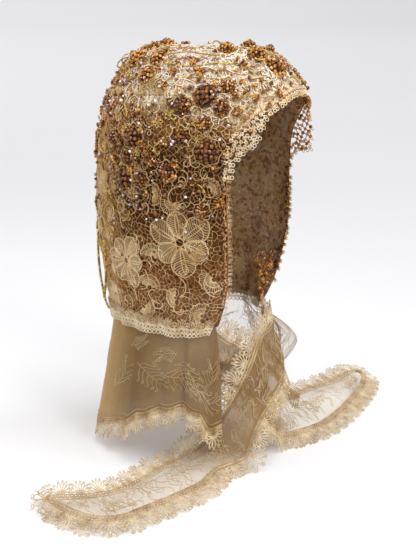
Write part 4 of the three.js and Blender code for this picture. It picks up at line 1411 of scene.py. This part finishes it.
# Painted shade: dark rounds under the rosettes stand for the shade between their beads.
painted_shade_tones = [(0.3, (58, 32, 12)), (0.7, (92, 54, 22))]
painted_shade = matt_stuff("painted shade under the beads", painted_shade_tones, sheen=0.1, Scale=500, Detail=3)
bead_chance = np.random.default_rng(5)
bed_turns = 2 * np.pi * np.arange(14) / 14
bed_rings = np.array([(0.02, 0.0030), (0.5, 0.0026), (0.85, 0.0016), (1.02, 0.0004)])
shade_discs = []
for angle, drop, size in rosette_places:
    centre, across, upward, normal = tangent_frame(angle, drop)
    ways = np.cos(bed_turns)[:, None] * across + np.sin(bed_turns)[:, None] * upward
    rings = centre + ways[None] * (bed_rings[:, 0] * rosette_radius * size)[:, None, None]
    rings = rings + normal * bed_rings[:, 1][:, None, None]
    shade_discs.append((rings.reshape(-1, 3), grid_faces(3, 14, closed=True)))
sew_on("rosette_shade_discs", gathered(shade_discs), painted_shade, "lace")

# Columns: distance from the middle and height over the lace, beads in the ring, size of a bead.
bead_rings = ((0.92, 0.0014, 12, 0.18), (0.62, 0.0036, 8, 0.20), (0.28, 0.0050, 4, 0.21), (0, 0.0058, 1, 0.2))
for number, (angle, drop, size) in enumerate(rosette_places):
    centre, across, upward, normal = tangent_frame(angle, drop)
    radius = rosette_radius * size
    places, axes, sizes = [], [], []
    for share, lift, count, bead in bead_rings:
        for step in range(count):
            turn = 2 * math.pi * (step + 0.37 * number) / count
            way = across * math.cos(turn) + upward * math.sin(turn)
            places.append(centre + way * radius * share + normal * (lift + radius * 0.05))
            axes.append(np.cross(way, normal) if share else across)
            sizes.append(radius * bead)
    rosette = f"rosette_{number + 1:02d}"
    knot = beads(faceted_bead, np.array(places), np.array(axes), np.array(sizes), bead_chance)
    glass = dark_glass if 0.15 < drop < 0.5 and size > 0.66 else amber_glass
    sew_on(rosette + "_beads", knot, glass, "amber_beads", rosette, smooth=False)

# Scattered beadwork
# Between the rosettes the lace is sprinkled with single topaz and amber beads, little daisies of seven beads,
# small white beads whose pale colour is painted glints of light, and short sprays of gold seed beads on a
# thread.

# Columns: name, how many, first and last drop, least and greatest size, lift in sizes, glass, seed.
single_beads = (
    ("amber_singles", 400, 0.004, 0.52, 0.0012, 0.0020, 1.2, amber_glass, 31),
    ("topaz_singles", 260, 0.10, 0.60, 0.0014, 0.0021, 1.2, dark_glass, 32),
    ("low_singles", 70, 0.52, 0.80, 0.0010, 0.0015, 1.2, dark_glass, 33),
    ("painted_glints", 190, 0.02, 0.66, 0.0008, 0.0014, 2.6, glint_glass, 34),
)
daisy_ring = 2.1
daisy_lift = 1.6
spray_bead = 0.00085


def sprinkled(count, low, high, generator, least=0.0026):
    """Places over a band of the lace, no two nearer than the least distance."""
    chosen = []
    while len(chosen) < count:
        angle, drop = generator.uniform(-180, 180), generator.uniform(low, high)
        if drop < 0.06 and generator.uniform() > 0.25 + drop * 12:
            continue
        spot = hood_point(angle, drop)
        bare_back = spot[1] > 0.062 and drop > 0.28
        if bare_back and generator.uniform() > 0.25:
            continue
        if on_lace(spot[None], 0.003)[0] and all(math.dist(spot, other[2]) > least for other in chosen):
            chosen.append((angle, drop, tuple(spot)))
    return chosen


for name, count, low, high, least, greatest, lift, glass, seed in single_beads:
    generator = np.random.default_rng(seed)
    spots = np.array([spot[2] for spot in sprinkled(count, low, high, generator)])
    sizes = generator.uniform(least, greatest, len(spots))
    places, facing = on_hood(spots, sizes * lift)
    axes = np.cross(facing, generator.normal(size=facing.shape))
    singles = beads(faceted_bead, places, axes, sizes, generator)
    sew_on(name, singles, glass, "amber_beads", smooth=False)

daisy_chance = np.random.default_rng(41)
daisy_places, daisy_axes, daisy_sizes = [], [], []
for angle, drop, _ in sprinkled(95, 0.004, 0.46, daisy_chance, least=0.009):
    spot = tangent_frame(angle, drop)
    bead = daisy_chance.uniform(0.0011, 0.0015)
    turns = np.radians(np.arange(6) * 60 + daisy_chance.uniform(0, 60))
    ring = circle(turns) * bead * daisy_ring
    places, _ = laid(spot, np.concatenate([ring, [(0, 0)]]), bead * daisy_lift)
    daisy_places.append(places)
    daisy_axes.append(np.concatenate([places[:6] - places[6:], [spot[1]]]))
    daisy_sizes.append(np.full(7, bead))
daisy_rows = (np.concatenate(rows) for rows in (daisy_places, daisy_axes, daisy_sizes))
daisies = beads(faceted_bead, *daisy_rows, daisy_chance)
sew_on("bead_daisies", daisies, amber_glass, "amber_beads", smooth=False)

spray_routes = scrolls(95, 0.01, 0.50, np.random.default_rng(51))
spray_routes += scrolls(22, 0.50, 0.75, np.random.default_rng(52))
spray_length = scroll_step * (scroll_points - 1)
spray_places, spray_axes = [], []
for places, facing in all_on_lace(spray_routes):
    count = round(spray_length / (2 * spray_bead * 0.72))
    row, _ = along_line(places, np.linspace(0, 0.8, count))
    arched = 0.0045 * np.sin(np.pi * row / row.max())[:, None] if places[0, 2] > -0.02 else 0.0
    threaded = read_rows(places + facing * 0.0012, row) + read_rows(facing, row) * arched
    spray_places.append(threaded)
    spray_axes.append(np.gradient(threaded, axis=0))
sprays = beads(seed_bead, np.concatenate(spray_places), np.concatenate(spray_axes), spray_bead, daisy_chance)
sew_on("seed_sprays", sprays, gold_glass, "gold_beads")

# Beads of the face edging
# Topaz beads are sewn close together low on both sides of the opening, and amber ones between the
# rings over its top and in the lobes. A bunch of beaded strings hangs inside the far lower corner.
edge_chance = np.random.default_rng(81)
edge_beads = []

# Columns: first and last share of the edge, how many beads, how far out they reach.
edge_stretches = ((0.03, 0.30, 150, 0.0035), (0.74, 0.97, 34, 0.004), (0.34, 0.60, 104, 0.007))
for low, high, count, reach in edge_stretches:
    along = edge_chance.uniform(low, high, count)
    places, facing = plain_strip(along, edge_chance.uniform(-0.005, reach, count))
    edge_beads.append((places + facing * 0.0014, facing, edge_chance.uniform(0.0012, 0.0019, count)))
for side, share in (("near", 0.10), ("far", 0.55)):
    places, facing = net_lots[side]
    kept = edge_chance.uniform(0, 1, len(places)) < share
    sizes = edge_chance.uniform(0.0013, 0.0019, kept.sum())
    edge_beads.append((places[kept] + facing[kept] * 0.0010, facing[kept], sizes))
edge_lots = (("cheek_beads", dark_glass, edge_beads[:2]), ("brow_beads", amber_glass, edge_beads[2:]))
for name, glass, lot in edge_lots:
    places, facing, sizes = (np.concatenate(column) for column in zip(*lot))
    axes = np.cross(facing, edge_chance.normal(size=facing.shape))
    sewn = beads(faceted_bead, places, axes, sizes, edge_chance)
    sew_on(name, sewn, glass, "amber_beads", smooth=False)

string_top = np.array([0.0545, -0.0485, -0.198])
string_foot = np.array([0.0450, -0.0360, -0.241])
string_spread = np.array([-0.469, 0.883, 0.0]) * 0.021
string_cord = 0.0005
string_count = 10
beads_on_string = 15
string_lines = []
for share in np.linspace(0, 1, string_count):
    top = string_top + string_spread * share + (0, 0, 0.003 * math.sin(9 * share))
    way = np.linspace(0, 1, beads_on_string)[:, None]
    sway = string_spread * 0.10 * np.sin(3 * np.pi * way + 7 * share)
    string_lines.append((top + sway) * (1 - way) + string_foot * way)
string_places = np.concatenate(string_lines)
string_axes = np.concatenate([np.gradient(line, axis=0) for line in string_lines])
string_sizes = edge_chance.uniform(0.0008, 0.0015, len(string_places))
strings = beads(faceted_bead, string_places, string_axes, string_sizes, edge_chance)
sew_on("bead_strings", strings, amber_glass, "amber_beads", smooth=False)
string_facing = np.broadcast_to((-0.87, -0.47, 0.1), (string_count, beads_on_string, 3))
sew_on("string_cords", wrap(string_lines, string_facing, string_cord), russet_cotton, "amber_beads")

# Rosette rings
# A wavy ring of cream cotton cord is worked round each rosette and held by short bars, which are
# sewn down on the lace.
ring_cord = 0.0005
ring_lift = 0.0012
bar_cord = 0.0004
bar_lift = 0.0010
ring_routes, bar_routes = [], []
for angle, drop, size in rosette_places:
    spot = tangent_frame(angle, drop)
    turns = np.linspace(0, 2 * np.pi, 32, endpoint=False)
    reach = rosette_radius * size + 0.0022 + 0.0009 * np.cos(8 * turns)
    ring_routes.append(laid(spot, circle(turns) * reach[:, None], ring_lift))
    for turn in np.linspace(0, 2 * np.pi, 9, endpoint=False):
        reaches = rosette_radius * size + np.array([0.0030, 0.0048, 0.0066])
        bar_routes.append(laid(spot, circle(turn) * reaches[:, None], bar_lift))
sew_cords("rosette_rings", ring_routes, ring_cord, stitch_cotton, closed=True)
sew_cords("rosette_bars", bar_routes, bar_cord, cream_cotton)

# Bead swag
# Two strands of gold seed beads hang at the back of the near side, meet lower down and end in one
# stem. They are strung on thread and hang clear of the lace.
swag_bead = 0.0015

# For each strand, its stations: degrees from the middle of the back, drop, lift in beads.
swag_strands = (
    ((39, 0.690, 1.3), (38.5, 0.780, 1.9), (38, 0.865, 2.2), (38, 0.950, 2.4)),
    ((45, 0.720, 1.4), (44, 0.800, 1.6), (42, 0.880, 2.0), (38.3, 0.946, 2.4)),
    ((38, 0.944, 2.4), (39, 0.965, 2.4), (40.5, 0.988, 2.3)),
)
strands = []
for strand in swag_strands:
    stations = np.array(strand)
    line = soft_line(hood_point(stations[:, 0], stations[:, 1], stations[:, 2] * 2 * swag_bead), 24)
    count = round(line_length(line) / (2 * swag_bead * 0.62))
    row, _ = along_line(line, np.linspace(0, 1, count))
    places = read_rows(line, row)
    strands.append(beads(seed_bead, places, np.gradient(places, axis=0), swag_bead, bead_chance))
sew_on("bead_swag", gathered(strands), gold_glass, "gold_beads", "bead_swag")

# Floor, light and camera
# White studio paper lies flat under the hood and rises in a wide bowl round it. A large soft sun
# and three lamps light it, and the camera stands on the hood's right side, a little in front.

# Columns: distance from the middle, height over the table.
sweep_rings = np.array([
    (0.01, 0), (0.6, 0), (1.4, 0), (2.4, 0), (2.9, 0.04), (3.3, 0.16), (3.6, 0.42), (3.7, 0.8),
])
sweep_sides = 64
sweep_turns = 2 * np.pi * np.arange(sweep_sides) / sweep_sides
sweep_points = np.empty((len(sweep_rings), sweep_sides, 3))
sweep_points[..., :2] = circle(sweep_turns) * sweep_rings[:, :1, None]
sweep_points[..., 2] = sweep_rings[:, 1:] - ground_drop
sweep_faces = grid_faces(len(sweep_rings) - 1, sweep_sides, closed=True)
floor_mesh = new_mesh("floor", sweep_points, sweep_faces)
paper_tones = [(0.3, (240, 240, 242)), (0.7, (244, 244, 246))]
floor_mesh.materials.append(matt_stuff("studio paper", paper_tones, Scale=3, Detail=4))
floor = bpy.data.objects.new("studio_floor", floor_mesh)
bpy.context.scene.collection.objects.link(floor)

world = bpy.data.worlds.new("studio")
world.use_nodes = True
background = world.node_tree.nodes["Background"]
background.inputs["Color"].default_value = (1.0, 1.0, 1.0, 1.0)
background.inputs["Strength"].default_value = 0.60
bpy.context.scene.world = world
bpy.context.scene.view_settings.view_transform = "Standard"


def lamp_at(name, kind, place, aim, strength, **settings):
    lamp = bpy.data.lights.new(name, kind)
    lamp.energy = strength
    for key, value in settings.items():
        setattr(lamp, key, value)
    light = bpy.data.objects.new(name, lamp)
    light.location = place
    light.rotation_mode = "QUATERNION"
    light.rotation_quaternion = (Vector(place) - Vector(aim)).to_track_quat("Z", "Y")
    bpy.context.scene.collection.objects.link(light)


lamp_at("top", "SUN", (0.25, -1.0, 1.5), (0, 0, 0), 1.08, angle=0.6)
lamp_at("key", "AREA", (-0.6, -1.2, 0.7), (0, 0, -0.15), 7, size=0.35)
lamp_at("crown", "AREA", (-0.24, -0.16, 0.38), (0, 0, 0), 1.3, size=0.2)
lamp_at("fill", "AREA", (-0.45, 1.0, 0.55), (0, 0, -0.10), 4, size=0.4)

lens_back = Vector((-0.8567, -0.4555, 0.2419)).normalized()
aim = Vector((0.00047, -0.00088, -0.215))
camera_distance = 0.95
camera = bpy.data.objects.new("camera", bpy.data.cameras.new("camera"))
camera.data.sensor_width = 36
camera.data.lens = 64.86
camera.location = aim + lens_back * camera_distance
camera.rotation_mode = "QUATERNION"
camera.rotation_quaternion = (-lens_back).to_track_quat("-Z", "Y")
bpy.context.scene.collection.objects.link(camera)
bpy.context.scene.camera = camera
